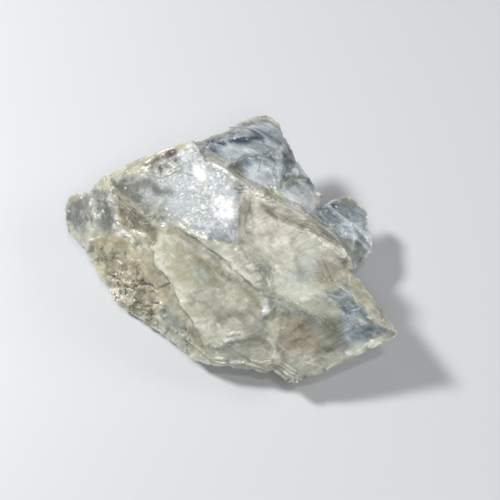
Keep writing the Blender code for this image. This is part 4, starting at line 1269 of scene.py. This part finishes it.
    def break_up(self, data: bpy.types.Mesh, creases: KDTree) -> None:
        """Moves the points of the finely divided mesh to where the broken stone has them.

        Args:
            data: the mesh, which is changed.
            creases: points along the sharp edges.
        """
        places, normals = self.points(data)
        from_crease = self.crease_distance(places, creases)
        off_table = np.clip(places[:, 2] / self.table_clearance, 0.0, 1.0)[:, None]
        wander = self.layer_bends.swells(places)
        layered = sum(layers.moves(places, wander) for layers in self.layers)
        upward = facing_up(normals, 0.3, 0.3)
        leaning = sum(facet.heights(places) for facet in self.facets)
        moved = places + off_table * (layered * (1.0 - upward))[:, None] * np.array(LAYER_NORMAL)
        moved += off_table * normals * (self.relief(places, from_crease) + upward * leaning)[:, None]
        moved[:, 2] = np.maximum(moved[:, 2], 0.0)
        data.vertices.foreach_set("co", (moved * MM).ravel())
        data.update()

    def points(self, data: bpy.types.Mesh) -> tuple[np.ndarray, np.ndarray]:
        """Reads where a mesh's points are and which way the mesh faces there.

        Args:
            data: the mesh.

        Returns:
            Their places, in millimetres, and their normals.
        """
        places, normals = np.empty(len(data.vertices) * 3), np.empty(len(data.vertices) * 3)
        data.vertices.foreach_get("co", places)
        data.vertices.foreach_get("normal", normals)
        return places.reshape(-1, 3) / MM, normals.reshape(-1, 3)

    def crease_distance(self, places: np.ndarray, creases: KDTree) -> np.ndarray:
        """Measures how far each place lies from the nearest sharp edge."""
        return np.array([creases.find(row)[2] for row in places.tolist()])

    def paint(self, data: bpy.types.Mesh, creases: KDTree, valleys: KDTree) -> None:
        """Writes the colour, cloudiness, dullness and wear of each point, for the finish to read, with
        painted shade in the valleys; the finish lightens the worn edges partly as painted highlight.

        Args:
            data: the mesh, which gets the attributes.
            creases: points along the sharp edges that stand out.
            valleys: points along the bottoms of the valleys.
        """
        places, normals = self.points(data)
        from_crease = self.crease_distance(places, creases)
        from_valley = self.crease_distance(places, valleys)
        wobbled = places + self.wobble(places)
        flat = laid_flat(wobbled)
        upper = facing_up(normals, 0.05, 0.25)
        paint = Paint(len(places), Tone.MILKY)
        for tone, patch in self.sides:
            paint.add(tone, patch.cover(wobbled) * (1.0 - upper))
        streaked = stretched(places, self.tone_stretch)
        ragged = sum(uneven.swells(streaked) for uneven in self.ragged)
        even = cover(places, self.shell_smooth)
        patchy = (1.0 - self.even_patches * even) * self.patches.swells(streaked)
        patchy = np.clip(self.patch_middle + patchy, 0.0, 1.0)
        for area in self.areas:
            uneven = ragged * min(1.0, self.ragged_fade / area.fade)
            share = eased(depth_inside(flat, area.corners) / area.fade + 0.5 + uneven)
            paint.add(area.tone, upper * patchy * area.strength * share)
        for stroke in self.strokes:
            if stroke.tone:
                paint.add(stroke.tone, stroke.paint(wobbled))
        # Painted shade along the bottoms of the valleys.
        paint.add(Tone.SHADE, self.valley_shade * eased(1.0 - from_valley / self.valley_reach))
        crumbled = cover(places, self.crumbled)
        # Wear along the edges that stand out, which the finish lightens, partly as painted highlight.
        edge = np.clip(1.0 - from_crease / self.edge_reach, 0.0, 1.0) * (1.0 - self.even_edges * even)
        shares = {"cloud": paint.cloud, "dull": paint.dull, "crumbled": crumbled, "edge": edge}
        for name, values in shares.items():
            data.attributes.new(name, "FLOAT", "POINT").data.foreach_set("value", values)
        tone = data.attributes.new("tone", "FLOAT_COLOR", "POINT")
        tone.data.foreach_set("color", np.column_stack([paint.colour, np.ones(len(places))]).ravel())

    def build(self) -> bpy.types.Object:
        """Makes the finely broken skin.

        Returns:
            The object, with no material yet.
        """
        noise.seed_set(self.moves_seed)
        creases = self.crease_tree(convex=True)
        levels = {"levels": self.levels, "render_levels": self.levels}
        data = evaluated(self.whole_mesh(), "SUBSURF", levels)
        self.curve_faces(data)
        self.break_up(data, creases)
        triangles = 2 * len(data.polygons)
        data = evaluated(data, "DECIMATE", {"ratio": self.most_triangles / triangles})
        data.name = self.name
        self.paint(data, creases, self.crease_tree(convex=False))
        data.shade_smooth()
        data.set_sharp_from_angle(angle=math.radians(self.sharp_deg))
        skin = bpy.data.objects.new(self.name, data)
        bpy.context.scene.collection.objects.link(skin)
        LOG.info("%s: %d faces", self.name, len(data.polygons))
        return skin


@dataclass
class Grains:
    """Small blunt grains that are still stuck to the crumbled side."""

    name: str = "petalite_grains"
    per_square_mm: float = 0.14
    least_mm: float = 0.6
    most_mm: float = 2.0
    kinds: int = 6
    corners: int = 12
    lowest_mm: float = 1.6
    corner_reach: tuple[float, float, float] = (0.5, 0.5, 0.4)
    small_bias: float = 2.5
    seed: int = 4
    turn_seed: int = 11
    kind_seed: int = 12

    def tree(self) -> bpy.types.NodeTree:
        """Makes the tree that scatters the grains.

        Returns:
            The tree. Where the skin is more crumbled it sets more of them, and none close to the table.
        """
        tree = bpy.data.node_groups.new("grains_on_crumbled_stone", "GeometryNodeTree")
        tree.interface.new_socket("Stone", in_out="INPUT", socket_type="NodeSocketGeometry")
        for name in ("Grains per area", "Least size", "Most size", "Lowest place"):
            tree.interface.new_socket(name, in_out="INPUT", socket_type="NodeSocketFloat")
        tree.interface.new_socket("Seed", in_out="INPUT", socket_type="NodeSocketInt")
        tree.interface.new_socket("Finish", in_out="INPUT", socket_type="NodeSocketMaterial")
        tree.interface.new_socket("Grains", in_out="OUTPUT", socket_type="NodeSocketGeometry")
        given = add_node(tree, "NodeGroupInput").outputs

        # A few shapes of grain: the hulls of handfuls of points.
        reach = Vector(self.corner_reach)
        shapes = add_node(tree, "GeometryNodeJoinGeometry")
        for kind in range(self.kinds):
            corners = add_node(
                tree,
                "FunctionNodeRandomValue",
                {"data_type": "FLOAT_VECTOR"},
                {"Min": -reach, "Max": reach, "Seed": kind},
            ).outputs["Value"]
            points = add_node(tree, "GeometryNodePoints", inputs={"Count": self.corners, "Position": corners})
            hull = add_node(tree, "GeometryNodeConvexHull", inputs={"Geometry": points.outputs[0]})
            shape = add_node(tree, "GeometryNodeGeometryToInstance", inputs={"Geometry": hull.outputs[0]})
            tree.links.new(shape.outputs[0], shapes.inputs[0])

        # Places for them, and a size, a turn and a shape for each.
        crumbled = add_node(
            tree, "GeometryNodeInputNamedAttribute", {"data_type": "FLOAT"}, {"Name": "crumbled"}
        ).outputs["Attribute"]
        density = add_node(
            tree, "ShaderNodeMath", {"operation": "MULTIPLY"}, {0: crumbled, 1: given["Grains per area"]}
        ).outputs[0]
        height = add_node(
            tree, "ShaderNodeSeparateXYZ", inputs={0: add_node(tree, "GeometryNodeInputPosition").outputs[0]}
        ).outputs["Z"]
        above = add_node(
            tree, "ShaderNodeMath", {"operation": "GREATER_THAN"}, {0: height, 1: given["Lowest place"]}
        ).outputs[0]
        places = add_node(
            tree,
            "GeometryNodeDistributePointsOnFaces",
            inputs={"Mesh": given["Stone"], "Selection": above, "Density": density, "Seed": given["Seed"]},
        ).outputs["Points"]
        chance = add_node(
            tree, "FunctionNodeRandomValue", {"data_type": "FLOAT"}, {"Seed": given["Seed"]}
        ).outputs[1]
        mostly_small = add_node(
            tree, "ShaderNodeMath", {"operation": "POWER"}, {0: chance, 1: self.small_bias}
        ).outputs[0]
        size = add_node(
            tree,
            "ShaderNodeMapRange",
            inputs={"Value": mostly_small, "To Min": given["Least size"], "To Max": given["Most size"]},
        ).outputs[0]
        turn = add_node(
            tree,
            "FunctionNodeRandomValue",
            {"data_type": "FLOAT_VECTOR"},
            {"Max": (math.tau, math.tau, math.tau), "Seed": self.turn_seed},
        ).outputs["Value"]
        pick = add_node(
            tree,
            "FunctionNodeRandomValue",
            {"data_type": "INT"},
            {4: 0, 5: self.kinds - 1, "Seed": self.kind_seed},
        ).outputs[2]
        grains = add_node(
            tree,
            "GeometryNodeInstanceOnPoints",
            inputs={
                "Points": places,
                "Instance": shapes.outputs[0],
                "Pick Instance": True,
                "Instance Index": pick,
                "Rotation": turn,
                "Scale": size,
            },
        ).outputs[0]
        whole = add_node(tree, "GeometryNodeRealizeInstances", inputs={"Geometry": grains}).outputs[0]
        flat = add_node(
            tree, "GeometryNodeSetShadeSmooth", inputs={"Geometry": whole, "Shade Smooth": False}
        ).outputs[0]
        dressed = add_node(
            tree, "GeometryNodeSetMaterial", inputs={"Geometry": flat, "Material": given["Finish"]}
        ).outputs[0]
        add_node(tree, "NodeGroupOutput", inputs={0: dressed})
        return tree

    def build(self, stone: bpy.types.Mesh, finish: bpy.types.Material) -> bpy.types.Object:
        """Makes the grains.

        Args:
            stone: the mesh of the skin, which is left as it is.
            finish: the material of the stone.

        Returns:
            The object.
        """
        values = {
            "Grains per area": self.per_square_mm / MM**2,
            "Least size": self.least_mm * MM,
            "Most size": self.most_mm * MM,
            "Lowest place": self.lowest_mm * MM,
            "Seed": self.seed,
            "Finish": finish,
        }
        data = evaluated(stone.copy(), "NODES", {"node_group": self.tree()}, values)
        data.name = self.name
        grains = bpy.data.objects.new(self.name, data)
        bpy.context.scene.collection.objects.link(grains)
        LOG.info("%s: %d faces", self.name, len(data.polygons))
        return grains


@dataclass(frozen=True)
class Petalite:
    """Petalite, a lithium feldspathoid, cleaved and broken by hand and left raw. Fresh cleavages are glossy
    as glass with a pearly gleam. Where fine cracks fill it the stone is milky, and where iron got in it is
    tan.

    A light is how much a pattern darkens and lightens the tone, a share is how much of the white of the
    veins, which also paints highlights on worn edges and glints, or of the dark colour it brings in, a cloud
    how much cloudier it makes the stone, a dullness how much rougher, and a height how far it stands out, as
    a share of the relief."""

    name: str = "petalite_cleaved"
    ior: float = 1.51
    gloss: float = 0.10
    vein_and_glint: str = "#f2f4f2"
    dark: str = "#6f6a58"
    clear_share: float = 0.94
    cloudy_share: float = 0.16
    body_tint: str = "#e2e6d0"
    tint_density: float = 30.0
    glow: float = 0.06
    glow_mm: float = 0.7
    glow_reach: tuple[float, float, float] = (1.0, 1.0, 0.8)

    # Swells of cloud, blotches in them, streaks along the cleavage, grit, hackle, which is torn stone across
    # the streaks, wisps in the clear parts, cleavage cracks, flakes that gleam one by one, and white speck
    # marks painted as glints.
    swell_mm: float = 5.5
    blotch_mm: float = 1.7
    streak_mm: float = 1.9
    grit_mm: float = 0.7
    hackle_mm: float = 0.55
    wisp_mm: float = 4.2
    crack_mm: float = 3.4
    crack_bend_mm: float = 1.6
    crack_sway_mm: float = 2.2
    flake_mm: float = 0.36
    speck_mm: float = 1.3
    streak_stretch: float = 4.0
    hackle_stretch: float = 6.0

    swell_light: tuple[float, float] = (0.89, 1.07)
    blotch_light: tuple[float, float] = (0.95, 1.04)
    hackle_light: tuple[float, float] = (0.84, 1.11)

    streak_share: float = 0.20
    pit_share: float = 0.35
    crack_share: float = 0.15
    edge_wear_and_highlight_share: float = 0.20
    glint_speck_share: float = 0.4
    wisp_share: float = 0.45

    swell_cloud: tuple[float, float] = (-0.15, 0.25)
    blotch_cloud: float = 0.17
    crack_cloud: float = 0.25
    worn_cloud: float = 0.12
    speck_cloud: float = 0.3
    wisp_cloud: float = 0.35
    least_cloud: float = 0.15

    tone_dullness: float = 0.34
    streak_dullness: float = 0.08
    flake_dullness: float = 0.25
    flake_lean: float = 0.30

    relief_mm: float = 0.25
    relief_share: float = 0.35
    flake_height: float = 0.5
    grit_height: float = 0.3
    hackle_height: float = 1.0
    streak_height: float = 0.8
    crack_height: float = -0.15
    speck_height: float = 0.15

    def material(self) -> bpy.types.Material:
        """Makes the shader.

        Returns:
            The material.
        """
        material = bpy.data.materials.new(self.name)
        material.use_nodes = True
        tree = material.node_tree
        tree.nodes.clear()
        place = add_node(tree, "ShaderNodeTexCoord").outputs["Object"]
        tone = add_node(tree, "ShaderNodeAttribute", {"attribute_name": "tone"}).outputs["Color"]
        cloud, dull, crumbled, edge = (
            add_node(tree, "ShaderNodeAttribute", {"attribute_name": name}).outputs["Fac"]
            for name in ("cloud", "dull", "crumbled", "edge")
        )
        lengthwise, across = (
            add_node(
                tree,
                "ShaderNodeMapping",
                {"vector_type": "TEXTURE"},
                {
                    "Vector": place,
                    "Rotation": tuple(line.to_track_quat("X", "Z").to_euler()),
                    "Scale": (stretch, 1.0, 1.0),
                },
            ).outputs[0]
            for line, stretch in ((CLEAVAGE_LINE, self.streak_stretch), (HACKLE_LINE, self.hackle_stretch))
        )
        swells, blotches, streaks, grit, hackle, folds = (
            add_node(
                tree,
                "ShaderNodeTexNoise",
                inputs={"Vector": vector, "Scale": 1.0 / (size * MM), "Detail": detail, "Distortion": bend},
            ).outputs["Fac"]
            for vector, size, detail, bend in (
                (place, self.swell_mm, 5.0, 0.9),
                (place, self.blotch_mm, 4.0, 0.4),
                (lengthwise, self.streak_mm, 6.0, 0.5),
                (place, self.grit_mm, 3.0, 0.0),
                (across, self.hackle_mm, 3.0, 0.8),
                (lengthwise, self.wisp_mm, 6.0, 0.5),
            )
        )

        # Flakes, each with a value of its own.
        flakes = add_node(
            tree, "ShaderNodeTexVoronoi", inputs={"Vector": lengthwise, "Scale": 1.0 / (self.flake_mm * MM)}
        ).outputs["Color"]
        flake = add_node(tree, "ShaderNodeSeparateColor", inputs={"Color": flakes}).outputs["Red"]

        # Cracks follow the borders of long thin cells that are bent a little.
        sway = add_node(
            tree,
            "ShaderNodeTexNoise",
            inputs={"Vector": place, "Scale": 1.0 / (self.crack_sway_mm * MM), "Detail": 3.0},
        ).outputs["Color"]
        bent = add_node(
            tree,
            "ShaderNodeVectorMath",
            {"operation": "MULTIPLY_ADD"},
            {0: sway, 1: (self.crack_bend_mm * MM,) * 3, 2: lengthwise},
        ).outputs[0]
        from_border = add_node(
            tree,
            "ShaderNodeTexVoronoi",
            {"feature": "DISTANCE_TO_EDGE"},
            {"Vector": bent, "Scale": 1.0 / (self.crack_mm * MM)},
        ).outputs["Distance"]

        # The white speck marks, painted glints, lie in only some of their cells.
        speck_cells = add_node(
            tree, "ShaderNodeTexVoronoi", inputs={"Vector": bent, "Scale": 1.0 / (self.speck_mm * MM)}
        ).outputs
        speck_chance = add_node(
            tree, "ShaderNodeSeparateColor", inputs={"Color": speck_cells["Color"]}
        ).outputs["Green"]

        # Wisps lie where the folds' noise is near its middle.
        off_fold = add_node(tree, "ShaderNodeMath", {"operation": "SUBTRACT"}, {0: folds, 1: 0.5}).outputs[0]
        from_fold = add_node(tree, "ShaderNodeMath", {"operation": "ABSOLUTE"}, {0: off_fold}).outputs[0]

        # Each pattern, from which of its values to which it counts, and what it comes to there.
        shares = []
        for value, (low, high), (least, most) in (
            (from_border, (0.055, 0.0), (0.0, 1.0)),
            (blotches, (0.42, 0.62), (0.0, 1.0)),
            (from_fold, (0.10, 0.0), (0.0, 1.0)),
            (cloud, (0.85, 0.35), (0.0, 1.0)),
            (speck_chance, (0.72, 1.0), (0.0, 0.26)),
            (grit, (0.52, 0.3), (0.0, self.pit_share)),
            (streaks, (0.46, 0.25), (0.0, self.streak_share)),
            (swells, NOISE_BAND, self.swell_light),
            (blotches, NOISE_BAND, self.blotch_light),
            (hackle, NOISE_BAND, self.hackle_light),
            (swells, NOISE_BAND, self.swell_cloud),
        ):
            bounds = {"From Min": low, "From Max": high, "To Min": least, "To Max": most}
            shares.append(add_node(tree, "ShaderNodeMapRange", inputs={"Value": value, **bounds}).outputs[0])
        lines, shown, near_fold, clear, speck_size, pits, dark_streaks, *lights, cloudy = shares
        glint_specks = add_node(
            tree, "ShaderNodeMath", {"operation": "LESS_THAN"}, {0: speck_cells["Distance"], 1: speck_size}
        ).outputs[0]
        cracks, wisps, pitted, flake_dull, flake_lean, light = (
            add_node(tree, "ShaderNodeMath", {"operation": "MULTIPLY"}, {0: one, 1: other}).outputs[0]
            for one, other in (
                (lines, shown),
                (near_fold, clear),
                (pits, crumbled),
                (flake, dull),
                (dull, self.flake_lean),
                lights[:2],
            )
        )

        # Colour: the tone, lighter in the swells and blotches, then streaks, pits, cracks, worn edges that
        # are lightened partly as painted highlight, white speck marks painted as glints, and wisps.
        light = add_node(
            tree, "ShaderNodeMath", {"operation": "MULTIPLY"}, {0: light, 1: lights[2]}
        ).outputs[0]
        colour = add_node(
            tree, "ShaderNodeVectorMath", {"operation": "SCALE"}, {0: tone, "Scale": light}
        ).outputs[0]
        for part, amount, over in (
            (dark_streaks, 1.0, self.dark),
            (pitted, 1.0, self.dark),
            (cracks, self.crack_share, self.vein_and_glint),
            # worn edges are lightened partly as painted highlight, and the speck marks are painted glints
            (edge, self.edge_wear_and_highlight_share, self.vein_and_glint),
            (glint_specks, self.glint_speck_share, self.vein_and_glint),
            (wisps, self.wisp_share, self.vein_and_glint),
        ):
            share = add_node(
                tree, "ShaderNodeMath", {"operation": "MULTIPLY"}, {0: part, 1: amount}
            ).outputs[0]
            colour = add_node(
                tree,
                "ShaderNodeMix",
                {"data_type": "RGBA"},
                {"Factor": share, "A": colour, "B": linear(over)},
            ).outputs["Result"]

        # Three sums, each of parts times their amounts: the cloudiness, which lets less light straight
        # through, the roughness, with mirror-like flakes among duller ones, and the relief too fine for the
        # mesh.
        sums = []
        for total, parts in (
            (
                cloudy,
                (
                    (blotches, self.blotch_cloud),
                    (cracks, self.crack_cloud),
                    (edge, self.worn_cloud),
                    (glint_specks, self.speck_cloud),
                    (wisps, self.wisp_cloud),
                    (cloud, 1.0),
                ),
            ),
            (
                self.gloss,
                (
                    (dull, self.tone_dullness),
                    (streaks, self.streak_dullness),
                    (flake_dull, self.flake_dullness),
                ),
            ),
            (
                0.0,
                (
                    (flake_dull, self.flake_height),
                    (grit, self.grit_height),
                    (hackle, self.hackle_height),
                    (streaks, self.streak_height),
                    (cracks, self.crack_height),
                    (glint_specks, self.speck_height),
                ),
            ),
        ):
            for part, amount in parts:
                total = add_node(
                    tree, "ShaderNodeMath", {"operation": "MULTIPLY_ADD"}, {0: part, 1: amount, 2: total}
                ).outputs[0]
            sums.append(total)
        cloudy, rough, height = sums
        see_through = add_node(
            tree,
            "ShaderNodeMapRange",
            inputs={
                "Value": cloudy,
                "From Min": self.least_cloud,
                "To Min": self.clear_share,
                "To Max": self.cloudy_share,
            },
        ).outputs[0]
        bump = add_node(
            tree,
            "ShaderNodeBump",
            inputs={"Strength": self.relief_share, "Distance": self.relief_mm * MM, "Height": height},
        ).outputs[0]

        # Each flake leans its own way, more where the stone is dull.
        lean = add_node(
            tree, "ShaderNodeVectorMath", {"operation": "SUBTRACT"}, {0: flakes, 1: (0.5, 0.5, 0.5)}
        ).outputs[0]
        leaning = add_node(
            tree, "ShaderNodeVectorMath", {"operation": "SCALE"}, {0: lean, "Scale": flake_lean}
        ).outputs[0]
        normal = add_node(
            tree, "ShaderNodeVectorMath", {"operation": "ADD"}, {0: bump, 1: leaning}
        ).outputs[0]
        normal = add_node(tree, "ShaderNodeVectorMath", {"operation": "NORMALIZE"}, {0: normal}).outputs[0]

        shader = add_node(
            tree,
            "ShaderNodeBsdfPrincipled",
            inputs={
                "Base Color": colour,
                "Roughness": rough,
                "IOR": self.ior,
                "Transmission Weight": see_through,
                "Subsurface Weight": self.glow,
                "Subsurface Radius": self.glow_reach,
                "Subsurface Scale": self.glow_mm * MM,
                "Normal": normal,
            },
        ).outputs[0]
        depth = add_node(
            tree,
            "ShaderNodeVolumeAbsorption",
            inputs={"Color": linear(self.body_tint), "Density": self.tint_density},
        ).outputs[0]
        add_node(tree, "ShaderNodeOutputMaterial", inputs={"Surface": shader, "Volume": depth})
        return material


@dataclass(frozen=True)
class TableTop:
    """Matt laminate, plain and pale, that gives the stone a soft shadow."""

    name: str = "table_laminate"
    colour: str = "#c6c8ca"
    roughness: float = 0.5

    def material(self) -> bpy.types.Material:
        """Makes the shader of the table.

        Returns:
            The material.
        """
        material = bpy.data.materials.new(self.name)
        material.use_nodes = True
        shader = material.node_tree.nodes["Principled BSDF"]
        shader.inputs["Base Color"].default_value = linear(self.colour)
        shader.inputs["Roughness"].default_value = self.roughness
        return material


@dataclass(frozen=True)
class Lamp:
    """A soft box: where it stands, how wide it is and how bright."""

    name: str
    place: tuple[float, float, float]
    width: float
    watts: float


@dataclass
class Studio:
    """The table, the lamps, the room light and the camera. Sizes are millimetres."""

    table_width: float = 4000.0
    lens_mm: float = 70.0
    camera_distance: float = 190.0
    camera_elevation_deg: float = 62.0
    camera_target: tuple[float, float, float] = (5.37, -0.1, 8.0)
    nearest_seen: float = 10.0
    room_colour: str = "#dfe3e8"
    room_strength: float = 0.13
    lamps: tuple[Lamp, ...] = (
        Lamp("back_left_box", (-300.0, 130.0, 330.0), 80.0, 2.35),
        Lamp("front_box", (40.0, -260.0, 420.0), 200.0, 0.62),
        Lamp("right_box", (380.0, 60.0, 220.0), 120.0, 0.5),
        Lamp("spark_box", (60.0, -60.0, 430.0), 30.0, 0.25),
    )

    def lay_table(self) -> None:
        """Lays the table under the stone."""
        half = self.table_width / 2 * MM
        data = bpy.data.meshes.new("table")
        corners = [(-half, -half, 0), (half, -half, 0), (half, half, 0), (-half, half, 0)]
        data.from_pydata(corners, [], [(0, 1, 2, 3)])
        data.materials.append(TableTop().material())
        table = bpy.data.objects.new("table", data)
        bpy.context.scene.collection.objects.link(table)

    def hang_lamps(self) -> None:
        """Hangs the soft boxes, each turned to the stone, and sets the light of the room."""
        target = Vector(self.camera_target) * MM
        for lamp in self.lamps:
            light = bpy.data.lights.new(lamp.name, "AREA")
            light.size = lamp.width * MM
            light.energy = lamp.watts
            box = bpy.data.objects.new(lamp.name, light)
            box.location = Vector(lamp.place) * MM
            box.rotation_euler = (target - box.location).to_track_quat("-Z", "Y").to_euler()
            bpy.context.scene.collection.objects.link(box)
        room = bpy.data.worlds.new("room")
        room.use_nodes = True
        sky = room.node_tree.nodes["Background"]
        sky.inputs["Color"].default_value = linear(self.room_colour)
        sky.inputs["Strength"].default_value = self.room_strength
        bpy.context.scene.world = room

    def place_camera(self) -> None:
        """Places the camera in front of the stone, looking down on it."""
        lens = bpy.data.cameras.new("camera")
        lens.lens = self.lens_mm
        lens.clip_start = self.nearest_seen * MM
        camera = bpy.data.objects.new("camera", lens)
        elevation = math.radians(self.camera_elevation_deg)
        back = Vector((0.0, -math.cos(elevation), math.sin(elevation)))
        camera.location = (Vector(self.camera_target) + back * self.camera_distance) * MM
        camera.rotation_euler = (-back).to_track_quat("-Z", "Y").to_euler()
        bpy.context.scene.collection.objects.link(camera)
        bpy.context.scene.camera = camera


def main() -> None:
    """Builds the crystal's pieces and the studio round it."""
    logging.basicConfig(level=logging.INFO, format="%(name)s %(message)s")
    finish = Petalite().material()
    skin = BrokenSkin().build()
    skin.data.materials.clear()
    skin.data.materials.append(finish)
    grains = Grains().build(skin.data, finish)
    for piece in (skin, grains):
        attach(piece, BODY)
        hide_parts(NODE)
    studio = Studio()
    studio.lay_table()
    studio.hang_lamps()
    studio.place_camera()
    bpy.context.scene.view_settings.view_transform = "Standard"


if __name__ == "__main__":
    main()
